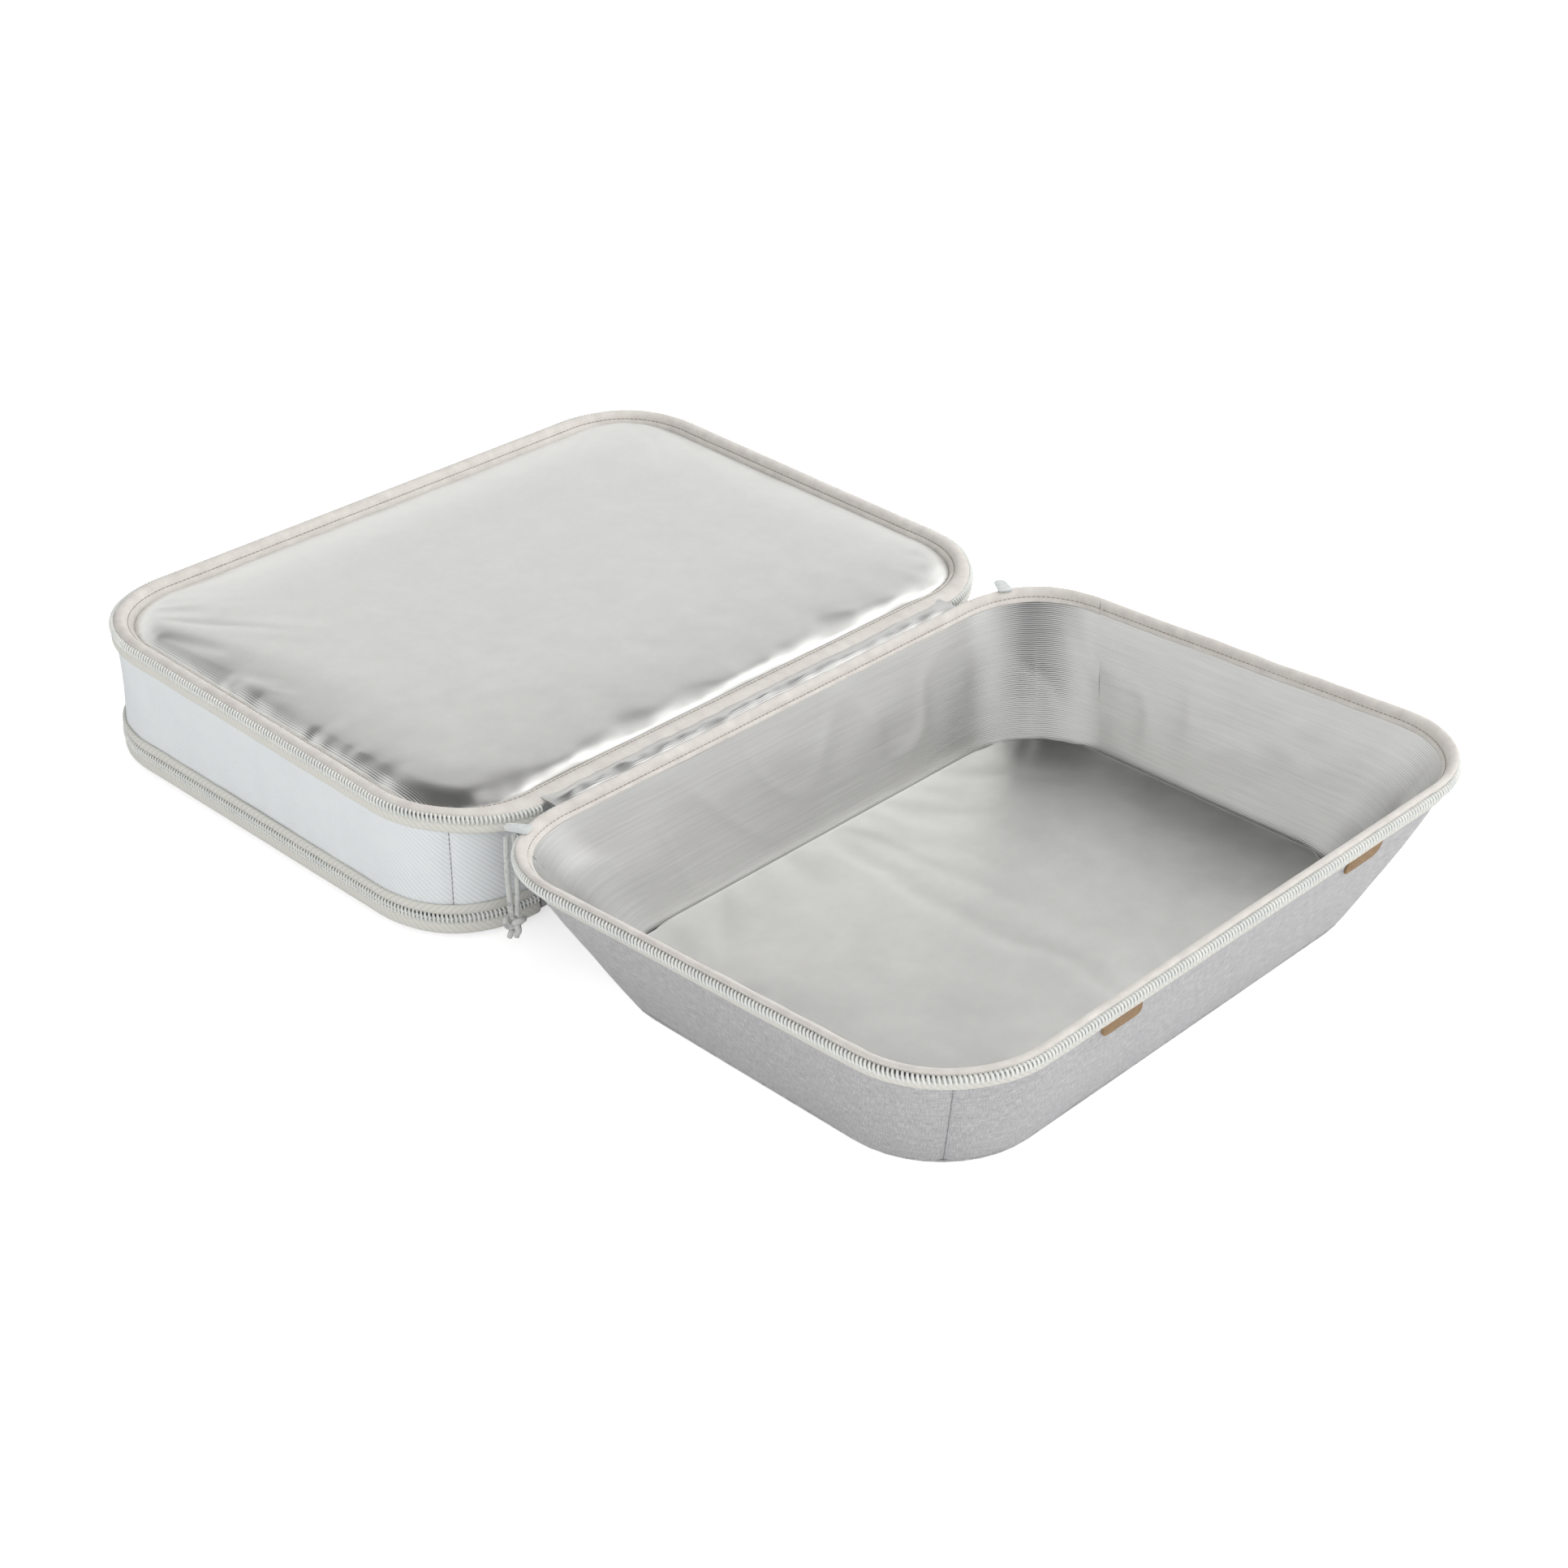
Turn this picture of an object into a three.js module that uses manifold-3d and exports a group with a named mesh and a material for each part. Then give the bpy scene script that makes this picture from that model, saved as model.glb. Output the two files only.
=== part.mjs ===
// Two-level insulated casserole carrier, standing open.
// A flared, foil-lined tub is hinged along its back rim to an upper compartment, which lies
// upside down beyond it on its own zipped lid. Carry handles fold flat against that lid.
// Millimetres, +Z up. X runs along the hinge, the tub's front faces -Y, and the origin is
// the middle of the tub's underside.

import * as THREE from 'three';
import { mergeVertices } from 'three/addons/utils/BufferGeometryUtils.js';
import Module from 'manifold-3d';

const wasm = await Module();
wasm.setup();

// Zipper line, the outline that the tub, the upper compartment and the lid share
const RIM_LENGTH = 430;
const RIM_WIDTH = 326;
const RIM_RADIUS = 60;
const CORNER_STEPS = 6;
const SIDE_STEPS = 4;

// Tub: its height at mid depth, how far each wall leans in, and how much higher the front
// rim stands, and lower the back rim sags, than the middle
const TUB_HEIGHT = 84;
const BASE_INSET = 37;
const BASE_RADIUS = 58;
const TUB_SAG = 7;

// Upper compartment: the rise of its free edge above its middle, and the fabric hinge
const COVER_RISE = 4;
const HINGE_GAP = 18;
const HINGE_CLOTH = 1;

// Layers of the walls and floors
const FABRIC = 1;
const FOAM = 4;
const LINING = 0.6;
const BASE_BOARD = 2;
const BASE_FOAM = 5;
const DIVIDER_FOAM = 8;
const LID_FOAM = 5;
const LAYER_GAP = 0.3;
const FLOOR_CLEARANCE = 0.8;

// Rim binding: a roll over the wall's top edge and a band down its inside
const BINDING = 1.5;
const BINDING_ROLL = 5;
const BINDING_ROUND = 1.4;
const TUB_BAND = 11;
const COVER_BAND = 10;

// Padded top of the divider: how far it swells, and the corner radius of its level middle
const CROWN_RISE = 13;
const CROWN_CORNER = 20;
const CROWN_STEPS = 4;

// Coil zippers: tape that shows, coil section, and the gap between two closed coils
const TAPE = 1;
const TAPE_SHOWN = 5;
const COIL_WIDTH = 2.6;
const COIL_HEIGHT = 2.4;
const COIL_PROUD = 2;
const COIL_BEVEL = 0.7;
const ZIP_GAP = 0.3;

// Zipper sliders: a body outside the coil with an arched crown for the pull
const SLIDER_LENGTH = 11;
const SLIDER_NOSE = 7;
const SLIDER_BELOW = 6;
const SLIDER_ABOVE = 1.5;
const SLIDER_THICK = 2.8;
const SLIDER_CLEARANCE = 0.3;
const SLIDER_PARK = 60;
const CROWN_WIDTH = 8;
const CROWN_LEG = 1.4;
const CROWN_HOLE = 3.2;
const CROWN_TALL = 3.5;
const CROWN_ROUND = 1;
const CROWN_ROOT = 0.5;

// Lid sliders stand either side of the middle of the free edge, each with a flat puller
const LID_SLIDER_SPREAD = 24;
const PULLER_LENGTH = 20;
const PULLER_THICK = 1.2;
const PULLER_BAR = 1.3;
const PULLER_EYE = 5.2;
const PULLER_CLEARANCE = 0.35;

// Cord pull: two strands below the crown, tied in one knot
const CORD_RADIUS = 1.5;
const CORD_SIDES = 8;
const CORD_LENGTH = 48;
const CORD_SPREAD = 4;
const KNOT_RADIUS = 5.5;
const KNOT_HEIGHT = 11;
const ROUND_STEPS = 4;

// Grip tabs on the tub's front, caught under the zipper tape
const TAB_WIDTH = 30;
const TAB_DROP = 12;
const TAB_THICK = 1.2;
const TAB_RADIUS = 6;
const TAB_SPREAD = 200;

// Webbing carry handles and the patches that hold their ends
const STRAP_WIDTH = 25;
const STRAP_THICK = 2;
const HANDLE_SPREAD = 150;
const HANDLE_REACH = 78;
const HANDLE_RADIUS = 30;
const HANDLE_PIVOT = 96;
const PATCH_WIDTH = 34;
const PATCH_LENGTH = 36;
const PATCH_RADIUS = 6;
const PATCH_CLEARANCE = 1.3;
const ARC_STEPS = 6;

// Places that follow from the sizes above
const QUARTER = 90;
const HALF_WIDTH = RIM_WIDTH / 2;
const SIDE_SIGNS = [[1, 1], [-1, 1], [-1, -1], [1, -1]];
const WALL_IN = -FABRIC;
const FOAM_OUT = WALL_IN - LAYER_GAP;
const FOAM_IN = FOAM_OUT - FOAM;
const LINING_OUT = FOAM_IN - LAYER_GAP;
const LINING_IN = LINING_OUT - LINING;
const BAND_IN = LINING_IN - LAYER_GAP - BINDING;
const WALL_FOOT = FABRIC + LAYER_GAP;
const BOARD_TOP = WALL_FOOT + BASE_BOARD;
const BASE_FOAM_TOP = BOARD_TOP + LAYER_GAP + BASE_FOAM;
const FLOOR_TOP = BASE_FOAM_TOP + LAYER_GAP + LINING;
const TAPE_NEAR = ZIP_GAP / 2 + COIL_HEIGHT + LAYER_GAP;
const TAPE_FAR = TAPE_NEAR + TAPE_SHOWN;
const WALL_EDGE = TAPE_FAR + LAYER_GAP;
const FOAM_EDGE = BINDING_ROLL + LAYER_GAP;
const LID_FACE = STRAP_THICK + LAYER_GAP;
const LID_PANEL_TOP = LID_FACE + FABRIC;
const LID_SEAM = LID_PANEL_TOP + LAYER_GAP + TAPE_FAR;
const COVER_Y = RIM_WIDTH + HINGE_GAP;
const HINGE_Y = COVER_Y / 2;
const HINGE_Z = TUB_HEIGHT - (TUB_SAG * HINGE_Y) / HALF_WIDTH;
const COVER_HEIGHT = HINGE_Z + (COVER_RISE * HINGE_Y) / HALF_WIDTH;

// Colour, roughness and metalness of each finish
const FINISHES = {
  heather: [0xb9b8bc, 0.9, 0],
  twill: [0xd0d6d9, 0.85, 0],
  binding: [0xded6d2, 0.8, 0],
  tape: [0xe1e1dc, 0.85, 0],
  coil: [0xd3dcd9, 0.45, 0],
  foil: [0xc8c8c6, 0.28, 0.9],
  foam: [0xe8e8e6, 0.95, 0],
  board: [0x8a8c8e, 0.6, 0],
  leather: [0xaa825f, 0.6, 0],
  webbing: [0xc2c4c6, 0.85, 0],
  cord: [0xc9cac8, 0.85, 0],
  slider: [0xcdd1d0, 0.4, 0.2],
};

// Rounded rectangle of the tub at a height, growing evenly from base to rim
const rimSection = { length: RIM_LENGTH, width: RIM_WIDTH, radius: RIM_RADIUS };
const baseSection = {
  length: RIM_LENGTH - 2 * BASE_INSET,
  width: RIM_WIDTH - 2 * BASE_INSET,
  radius: BASE_RADIUS,
};

function tubSection(z) {
  const share = z / TUB_HEIGHT;
  const mix = (key) => THREE.MathUtils.lerp(baseSection[key], rimSection[key], share);
  return { length: mix('length'), width: mix('width'), radius: mix('radius') };
}

const coverSection = () => rimSection;

// A station is a place on the outline: one of its corners, the way its face points there and
// how far along the straight side to the next corner it lies
function outlinePoint(section, station, offset, z) {
  const corner = (quadrant) => {
    const [sideX, sideY] = SIDE_SIGNS[quadrant % SIDE_SIGNS.length];
    const x = sideX * (section.length / 2 - section.radius);
    return new THREE.Vector3(x, sideY * (section.width / 2 - section.radius), z);
  };
  const turn = THREE.MathUtils.degToRad(station.angle);
  const reach = section.radius + offset;
  const centre = corner(station.quadrant).lerp(corner(station.quadrant + 1), station.along);
  return centre.add(new THREE.Vector3(reach * Math.cos(turn), reach * Math.sin(turn), 0));
}

function cornerStations(quadrant) {
  const steps = Array.from({ length: CORNER_STEPS + 1 }, (_, step) => step / CORNER_STEPS);
  return steps.map((share) => ({ quadrant, angle: (quadrant + share) * QUARTER, along: 0 }));
}

function sideStations(quadrant) {
  const steps = Array.from({ length: SIDE_STEPS - 1 }, (_, step) => (step + 1) / SIDE_STEPS);
  return steps.map((along) => ({ quadrant, angle: (quadrant + 1) * QUARTER, along }));
}

const legStations = (quadrant) => [...cornerStations(quadrant), ...sideStations(quadrant)];
const ringStations = () => SIDE_SIGNS.flatMap((_, quadrant) => legStations(quadrant));

// Stations along part of the outline, counted anticlockwise in degrees from +X
function pathStations(from, to) {
  const first = Math.floor(from / QUARTER);
  const last = Math.ceil(to / QUARTER) - 1;
  const sliver = QUARTER / CORNER_STEPS / 4;
  const inside = ({ angle }) => angle > from + sliver && angle < to - sliver;
  const stations = [{ quadrant: first, angle: from, along: 0 }];
  for (let quadrant = first; quadrant <= last; quadrant += 1) {
    stations.push(...legStations(quadrant).filter(inside));
  }
  stations.push({ quadrant: last, angle: to, along: 0 });
  return stations;
}

// Closed surface through rings of points, with flat ends unless the rings form a loop.
// Every quad is cut along the same rising diagonal, so that layers stay parallel.
function loft(rings, looped, profile) {
  const count = rings[0].length;
  const positions = rings.flat().flatMap((point) => [point.x, point.y, point.z]);
  const faces = [];
  const spans = looped ? rings.length : rings.length - 1;
  for (let index = 0; index < spans; index += 1) {
    for (let edge = 0; edge < count; edge += 1) {
      const other = (edge + 1) % count;
      const here = index * count;
      const next = ((index + 1) % rings.length) * count;
      const quad = [here + edge, next + edge, next + other, here + other];
      const rising = rings[index][other].z >= rings[index][edge].z;
      const corners = rising ? [0, 1, 2, 0, 2, 3] : [0, 1, 3, 1, 2, 3];
      faces.push(...corners.map((corner) => quad[corner]));
    }
  }
  if (!looped) {
    const end = (rings.length - 1) * count;
    THREE.ShapeUtils.triangulateShape(profile, []).forEach(([a, b, c]) => {
      faces.push(a, b, c, end + c, end + b, end + a);
    });
  }
  const geometry = new THREE.BufferGeometry();
  geometry.setAttribute('position', new THREE.Float32BufferAttribute(positions, 3));
  geometry.setIndex(faces);
  return geometry;
}

// A profile is an anticlockwise outline of [outward offset, height]
function orderedProfile(pairs) {
  const profile = pairs.map(([offset, z]) => new THREE.Vector2(offset, z));
  return THREE.ShapeUtils.isClockWise(profile) ? profile.reverse() : profile;
}

function sweep(pairs, sectionAt, stations, looped) {
  const profile = orderedProfile(pairs);
  const ringAt = (station) => profile.map(
    ({ x, y }) => outlinePoint(sectionAt(y), station, x, y),
  );
  return loft(stations.map(ringAt), looped, profile);
}

const ring = (pairs, sectionAt) => sweep(pairs, sectionAt, ringStations(), true);
const run = (pairs, sectionAt, from, to) => sweep(
  pairs, sectionAt, pathStations(from, to), false,
);

// Straight strip along the hinge, on the outline's +Y or -Y side, between the corners
function hingeStrip(pairs, sectionAt, sideY) {
  const profile = orderedProfile(pairs);
  const ringAt = (sideX) => profile.map((point) => {
    const { length, width, radius } = sectionAt(point.y);
    const half = length / 2 - radius - LAYER_GAP;
    return new THREE.Vector3(sideX * half, sideY * (width / 2 + point.x), point.y);
  });
  return loft([sideY, -sideY].map(ringAt), false, profile);
}

const rectangle = (inner, outer, low, high) => [
  [inner, low], [outer, low], [outer, high], [inner, high],
];

// Flat layer with the outline's shape, drawn in by an offset
function plate(section, offset, low, high) {
  const outline = ringStations().map((station) => outlinePoint(section, station, offset, 0));
  const shape = new THREE.Shape(outline.map(({ x, y }) => new THREE.Vector2(x, y)));
  const geometry = new THREE.ExtrudeGeometry(shape, { depth: high - low, bevelEnabled: false });
  return geometry.translate(0, 0, low);
}

// Closed solid through outlines stacked from the top down, each an [offset, height]
function stack(section, pairs) {
  const outline = ([offset, z]) => ringStations().map(
    (station) => outlinePoint(section, station, offset, z),
  );
  return loft(pairs.map(outline), false, outline(pairs[0]));
}

// The soft walls lean: the rim's height changes evenly from front to back
function lean(geometry, rise, foot, height) {
  const points = geometry.getAttribute('position');
  for (let index = 0; index < points.count; index += 1) {
    const z = points.getZ(index);
    const share = (z - foot) / (height - foot);
    points.setZ(index, z + (rise * share * points.getY(index)) / HALF_WIDTH);
  }
  return geometry;
}

const leanTub = (geometry) => lean(geometry, -TUB_SAG, WALL_FOOT, TUB_HEIGHT);
const leanCover = (geometry) => lean(geometry, COVER_RISE, LID_SEAM, COVER_HEIGHT);

function addPiece(parent, name, geometry, finish) {
  const [color, roughness, metalness] = FINISHES[finish];
  const material = new THREE.MeshStandardMaterial({ color, roughness, metalness });
  const mesh = new THREE.Mesh(geometry, material);
  mesh.name = name;
  parent.add(mesh);
}

// Four pieces of one wall layer, parted at the seams in the middle of the corners
function addWalls(parent, prefix, pairs, sectionAt, settle, finish, sides) {
  const trim = THREE.MathUtils.radToDeg(LAYER_GAP / 2 / RIM_RADIUS);
  sides.forEach((side, index) => {
    const from = QUARTER / 2 + index * QUARTER;
    const wall = run(pairs, sectionAt, from + trim, from + QUARTER - trim);
    addPiece(parent, `${prefix}_${side}`, settle(wall), finish);
  });
}

// Rim binding: rolled over the foam's top edge, with a band down the inside
function bindingProfile(seam, band) {
  const top = seam - ZIP_GAP;
  return [
    [FOAM_OUT, seam - BINDING_ROLL],
    [FOAM_OUT, top - BINDING_ROUND],
    [FOAM_OUT - BINDING_ROUND, top],
    [BAND_IN + BINDING_ROUND, top],
    [BAND_IN, top - BINDING_ROUND],
    [BAND_IN, seam - band],
    [BAND_IN + BINDING, seam - band],
    [BAND_IN + BINDING, seam - BINDING_ROLL],
  ];
}

// One half of a coil zipper, below (-1) or above (+1) the plane where its coils meet
function addZipper(parent, prefix, seam, side, sectionAt, settle, from) {
  const to = from + 4 * QUARTER;
  const near = seam + (side * ZIP_GAP) / 2;
  const far = near + side * COIL_HEIGHT;
  const bevel = side * COIL_BEVEL;
  const inner = COIL_PROUD - COIL_WIDTH;
  const coil = [
    [inner, near + bevel], [inner + COIL_BEVEL, near], [COIL_PROUD - COIL_BEVEL, near],
    [COIL_PROUD, near + bevel], [COIL_PROUD, far - bevel], [COIL_PROUD - COIL_BEVEL, far],
    [inner + COIL_BEVEL, far], [inner, far - bevel],
  ];
  const tape = rectangle(-TAPE, 0, seam + side * TAPE_NEAR, seam + side * TAPE_FAR);
  addPiece(parent, `${prefix}_zip_tape`, settle(run(tape, sectionAt, from, to)), 'tape');
  addPiece(parent, `${prefix}_zip_coil`, settle(run(coil, sectionAt, from, to)), 'coil');
}

// Half of the main fabric hinge: a hem on the wall's top and a flap out to the hinge line
function hingeProfile(seam) {
  const top = seam - ZIP_GAP / 2;
  const reach = HINGE_GAP / 2 - LAYER_GAP / 2;
  return [
    [-TAPE, seam - TAPE_FAR], [0, seam - TAPE_FAR], [0, top - HINGE_CLOTH],
    [reach, top - HINGE_CLOTH], [reach, top], [-TAPE, top],
  ];
}

// Tub: fabric walls over foam, a stiff base and a foil lining
function addTubFloor(parent) {
  const inset = FOAM_IN - FLOOR_CLEARANCE;
  const boardFoot = WALL_FOOT;
  const foamFoot = BOARD_TOP + LAYER_GAP;
  const liningFoot = BASE_FOAM_TOP + LAYER_GAP;
  const liningInset = LINING_IN - FLOOR_CLEARANCE;
  addPiece(parent, 'tub_base_panel', plate(baseSection, 0, 0, FABRIC), 'heather');
  addPiece(parent, 'tub_base_board', plate(baseSection, inset, boardFoot, BOARD_TOP), 'board');
  addPiece(parent, 'tub_base_foam', plate(baseSection, inset, foamFoot, BASE_FOAM_TOP), 'foam');
  const floor = plate(tubSection(liningFoot), liningInset, liningFoot, FLOOR_TOP);
  addPiece(parent, 'tub_floor_lining', floor, 'foil');
}

function addTubWalls(parent) {
  const sides = ['back', 'left', 'front', 'right'];
  const wall = rectangle(WALL_IN, 0, WALL_FOOT, TUB_HEIGHT - WALL_EDGE);
  const foam = rectangle(FOAM_IN, FOAM_OUT, WALL_FOOT, TUB_HEIGHT - FOAM_EDGE);
  const liningFoot = BASE_FOAM_TOP + LAYER_GAP;
  const lining = rectangle(LINING_IN, LINING_OUT, liningFoot, TUB_HEIGHT - FOAM_EDGE);
  addWalls(parent, 'tub_wall', wall, tubSection, leanTub, 'heather', sides);
  addWalls(parent, 'tub_foam', foam, tubSection, leanTub, 'foam', sides);
  addPiece(parent, 'tub_wall_lining', leanTub(ring(lining, tubSection)), 'foil');
}

function addTubRim(parent) {
  const binding = ring(bindingProfile(TUB_HEIGHT, TUB_BAND), tubSection);
  addPiece(parent, 'tub_rim_binding', leanTub(binding), 'binding');
  addZipper(parent, 'tub', TUB_HEIGHT, -1, tubSection, leanTub, QUARTER);
  const strip = hingeStrip(hingeProfile(TUB_HEIGHT), tubSection, 1);
  addPiece(parent, 'tub_hinge_strip', leanTub(strip), 'foil');
}

// Grip tab: a leather strip with round lower corners, flat on the leaning front wall
function tabGeometry() {
  const half = TAB_WIDTH / 2;
  const shape = new THREE.Shape();
  shape.moveTo(-half, 0);
  shape.lineTo(-half, TAB_RADIUS - TAB_DROP);
  shape.absarc(TAB_RADIUS - half, TAB_RADIUS - TAB_DROP, TAB_RADIUS, Math.PI, 1.5 * Math.PI);
  shape.absarc(half - TAB_RADIUS, TAB_RADIUS - TAB_DROP, TAB_RADIUS, 1.5 * Math.PI, 2 * Math.PI);
  shape.lineTo(half, 0);
  const options = { depth: TAB_THICK, bevelEnabled: false, curveSegments: ARC_STEPS };
  return new THREE.ExtrudeGeometry(shape, options);
}

function addTab(parent, name, x) {
  const geometry = tabGeometry();
  const points = geometry.getAttribute('position');
  for (let index = 0; index < points.count; index += 1) {
    const z = TUB_HEIGHT - WALL_EDGE + points.getY(index);
    const out = tubSection(z).width / 2 + LAYER_GAP + points.getZ(index);
    points.setXYZ(index, x + points.getX(index), -out, z);
  }
  addPiece(parent, name, leanTub(geometry), 'leather');
}

// Upper compartment: gusset walls, an insulated foil divider and two zipper edges
function addGusset(parent) {
  const sides = ['front', 'left', 'back', 'right'];
  const top = COVER_HEIGHT;
  const foot = LID_SEAM + ZIP_GAP / 2;
  const wall = rectangle(WALL_IN, 0, LID_SEAM + WALL_EDGE, top - WALL_EDGE);
  const foam = rectangle(FOAM_IN, FOAM_OUT, foot, top - FOAM_EDGE);
  const lining = rectangle(LINING_IN, LINING_OUT, foot, top - FOAM_EDGE);
  addWalls(parent, 'gusset_wall', wall, coverSection, leanCover, 'twill', sides);
  addWalls(parent, 'gusset_foam', foam, coverSection, leanCover, 'foam', sides);
  addPiece(parent, 'gusset_lining', leanCover(ring(lining, coverSection)), 'foil');
}

// The divider swells from the foot of the rim binding in to a level middle
function crown(edge) {
  const start = BAND_IN - LAYER_GAP;
  const run = RIM_RADIUS + start - CROWN_CORNER;
  return Array.from({ length: CROWN_STEPS + 1 }, (_, step) => {
    const share = 1 - step / CROWN_STEPS;
    return [start - run * share, edge + CROWN_RISE * Math.sin((share * Math.PI) / 2)];
  });
}

function addDivider(parent) {
  const inset = LINING_IN - LAYER_GAP;
  const faceTop = COVER_HEIGHT - COVER_BAND - LAYER_GAP;
  const faceFoot = faceTop - LINING;
  const foamTop = faceFoot - LAYER_GAP;
  const foamFoot = foamTop - DIVIDER_FOAM;
  const backTop = foamFoot - LAYER_GAP;
  const face = [...crown(faceTop), [inset, faceTop], [inset, faceFoot], ...crown(faceFoot).reverse()];
  const foam = [...crown(foamTop), [inset, foamTop], [inset, foamFoot]];
  const back = [[inset, backTop], [inset, backTop - LINING]];
  const layers = [['face', face, 'foil'], ['foam', foam, 'foam'], ['back', back, 'foil']];
  layers.forEach(([name, pairs, finish]) => {
    addPiece(parent, `divider_${name}`, leanCover(stack(rimSection, pairs)), finish);
  });
}

function addCoverEdges(parent) {
  const hingeCorner = 3 * QUARTER;
  const binding = ring(bindingProfile(COVER_HEIGHT, COVER_BAND), coverSection);
  addPiece(parent, 'cover_rim_binding', leanCover(binding), 'binding');
  addZipper(parent, 'cover', COVER_HEIGHT, -1, coverSection, leanCover, hingeCorner);
  addZipper(parent, 'gusset_lid', LID_SEAM, 1, coverSection, leanCover, hingeCorner);
  const strip = hingeStrip(hingeProfile(COVER_HEIGHT), coverSection, -1);
  addPiece(parent, 'cover_hinge_strip', leanCover(strip), 'foil');
  const hem = rectangle(-TAPE, 0, LID_SEAM + ZIP_GAP / 2, LID_SEAM + TAPE_FAR);
  const facing = hingeStrip(hem, coverSection, -1);
  addPiece(parent, 'gusset_hinge_strip', leanCover(facing), 'twill');
}

// Lid: padded panel with the other half of the lid zipper and a sewn hinge edge
const keep = (geometry) => geometry;

function addLid(parent) {
  const inset = -TAPE - LAYER_GAP;
  const foamFoot = LID_PANEL_TOP + LAYER_GAP;
  const foamTop = foamFoot + LID_FOAM;
  const liningFoot = foamTop + LAYER_GAP;
  addPiece(parent, 'lid_panel', plate(rimSection, 0, LID_FACE, LID_PANEL_TOP), 'heather');
  addPiece(parent, 'lid_foam', plate(rimSection, inset, foamFoot, foamTop), 'foam');
  const lining = plate(rimSection, inset, liningFoot, liningFoot + LINING);
  addPiece(parent, 'lid_lining', lining, 'foil');
  addZipper(parent, 'lid', LID_SEAM, -1, coverSection, keep, 3 * QUARTER);
  const hem = rectangle(-TAPE, 0, foamFoot, LID_SEAM - ZIP_GAP / 2);
  addPiece(parent, 'lid_hinge_strip', hingeStrip(hem, coverSection, -1), 'heather');
}

// Carry handle: one length of webbing laid flat as a U, its grip towards the lid's middle
function handleShape() {
  const outer = (HANDLE_SPREAD + STRAP_WIDTH) / 2;
  const inner = outer - STRAP_WIDTH;
  const innerRadius = Math.max(HANDLE_RADIUS - STRAP_WIDTH, STRAP_THICK);
  const grip = HANDLE_REACH - STRAP_WIDTH;
  const square = Math.PI / 2;
  const shape = new THREE.Shape();
  shape.moveTo(inner, 0);
  shape.lineTo(outer, 0);
  shape.absarc(outer - HANDLE_RADIUS, HANDLE_REACH - HANDLE_RADIUS, HANDLE_RADIUS, 0, square);
  shape.absarc(HANDLE_RADIUS - outer, HANDLE_REACH - HANDLE_RADIUS, HANDLE_RADIUS, square, Math.PI);
  shape.lineTo(-outer, 0);
  shape.lineTo(-inner, 0);
  shape.absarc(innerRadius - inner, grip - innerRadius, innerRadius, Math.PI, square, true);
  shape.absarc(inner - innerRadius, grip - innerRadius, innerRadius, square, 0, true);
  return shape;
}

function patchShape() {
  const halfWidth = PATCH_WIDTH / 2 - PATCH_RADIUS;
  const halfLength = PATCH_LENGTH / 2 - PATCH_RADIUS;
  const shape = new THREE.Shape();
  SIDE_SIGNS.forEach(([sideX, sideY], index) => {
    const start = (index * Math.PI) / 2;
    const end = start + Math.PI / 2;
    shape.absarc(sideX * halfWidth, sideY * halfLength, PATCH_RADIUS, start, end);
  });
  return shape;
}

function flatPiece(shape) {
  const options = { depth: STRAP_THICK, bevelEnabled: false, curveSegments: ARC_STEPS };
  return new THREE.ExtrudeGeometry(shape, options);
}

function addHandle(parent, name, turn) {
  const group = new THREE.Group();
  group.rotation.z = turn;
  const handle = flatPiece(handleShape()).translate(0, -HANDLE_PIVOT, 0);
  addPiece(group, `handle_${name}`, handle, 'webbing');
  const middle = HANDLE_PIVOT + PATCH_CLEARANCE + PATCH_LENGTH / 2;
  [['a', -1], ['b', 1]].forEach(([end, side]) => {
    const patch = flatPiece(patchShape()).translate((side * HANDLE_SPREAD) / 2, -middle, 0);
    addPiece(group, `handle_patch_${name}_${end}`, patch, 'leather');
  });
  parent.add(group);
}

// Boolean join of two closed geometries
function toManifold(geometry) {
  const bare = new THREE.BufferGeometry();
  bare.setAttribute('position', geometry.getAttribute('position'));
  bare.setIndex(geometry.getIndex());
  const merged = mergeVertices(bare);
  const mesh = new wasm.Mesh({
    numProp: 3,
    vertProperties: new Float32Array(merged.getAttribute('position').array),
    triVerts: new Uint32Array(merged.getIndex().array),
  });
  return new wasm.Manifold(mesh);
}

function join(first, second) {
  const mesh = toManifold(first).add(toManifold(second)).getMesh();
  const geometry = new THREE.BufferGeometry();
  geometry.setAttribute('position', new THREE.BufferAttribute(mesh.vertProperties, 3));
  geometry.setIndex(new THREE.BufferAttribute(mesh.triVerts, 1));
  return geometry;
}

// Slider: a tapered plate outside the coils and a crown that arches out from its middle.
// Its X runs along the zipper, Y points out of the carrier and Z up.
function sliderPlate(low, high) {
  const shape = new THREE.Shape();
  const half = SLIDER_LENGTH / 2;
  const taper = (high - low - SLIDER_NOSE) / 2;
  shape.moveTo(-half, low);
  shape.lineTo(0, low);
  shape.lineTo(half, low + Math.max(taper, 0));
  shape.lineTo(half, high - Math.max(taper, 0));
  shape.lineTo(0, high);
  shape.lineTo(-half, high);
  const geometry = new THREE.ExtrudeGeometry(shape, { depth: SLIDER_THICK, bevelEnabled: false });
  return geometry.rotateX(Math.PI / 2).translate(0, SLIDER_THICK, 0);
}

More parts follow.
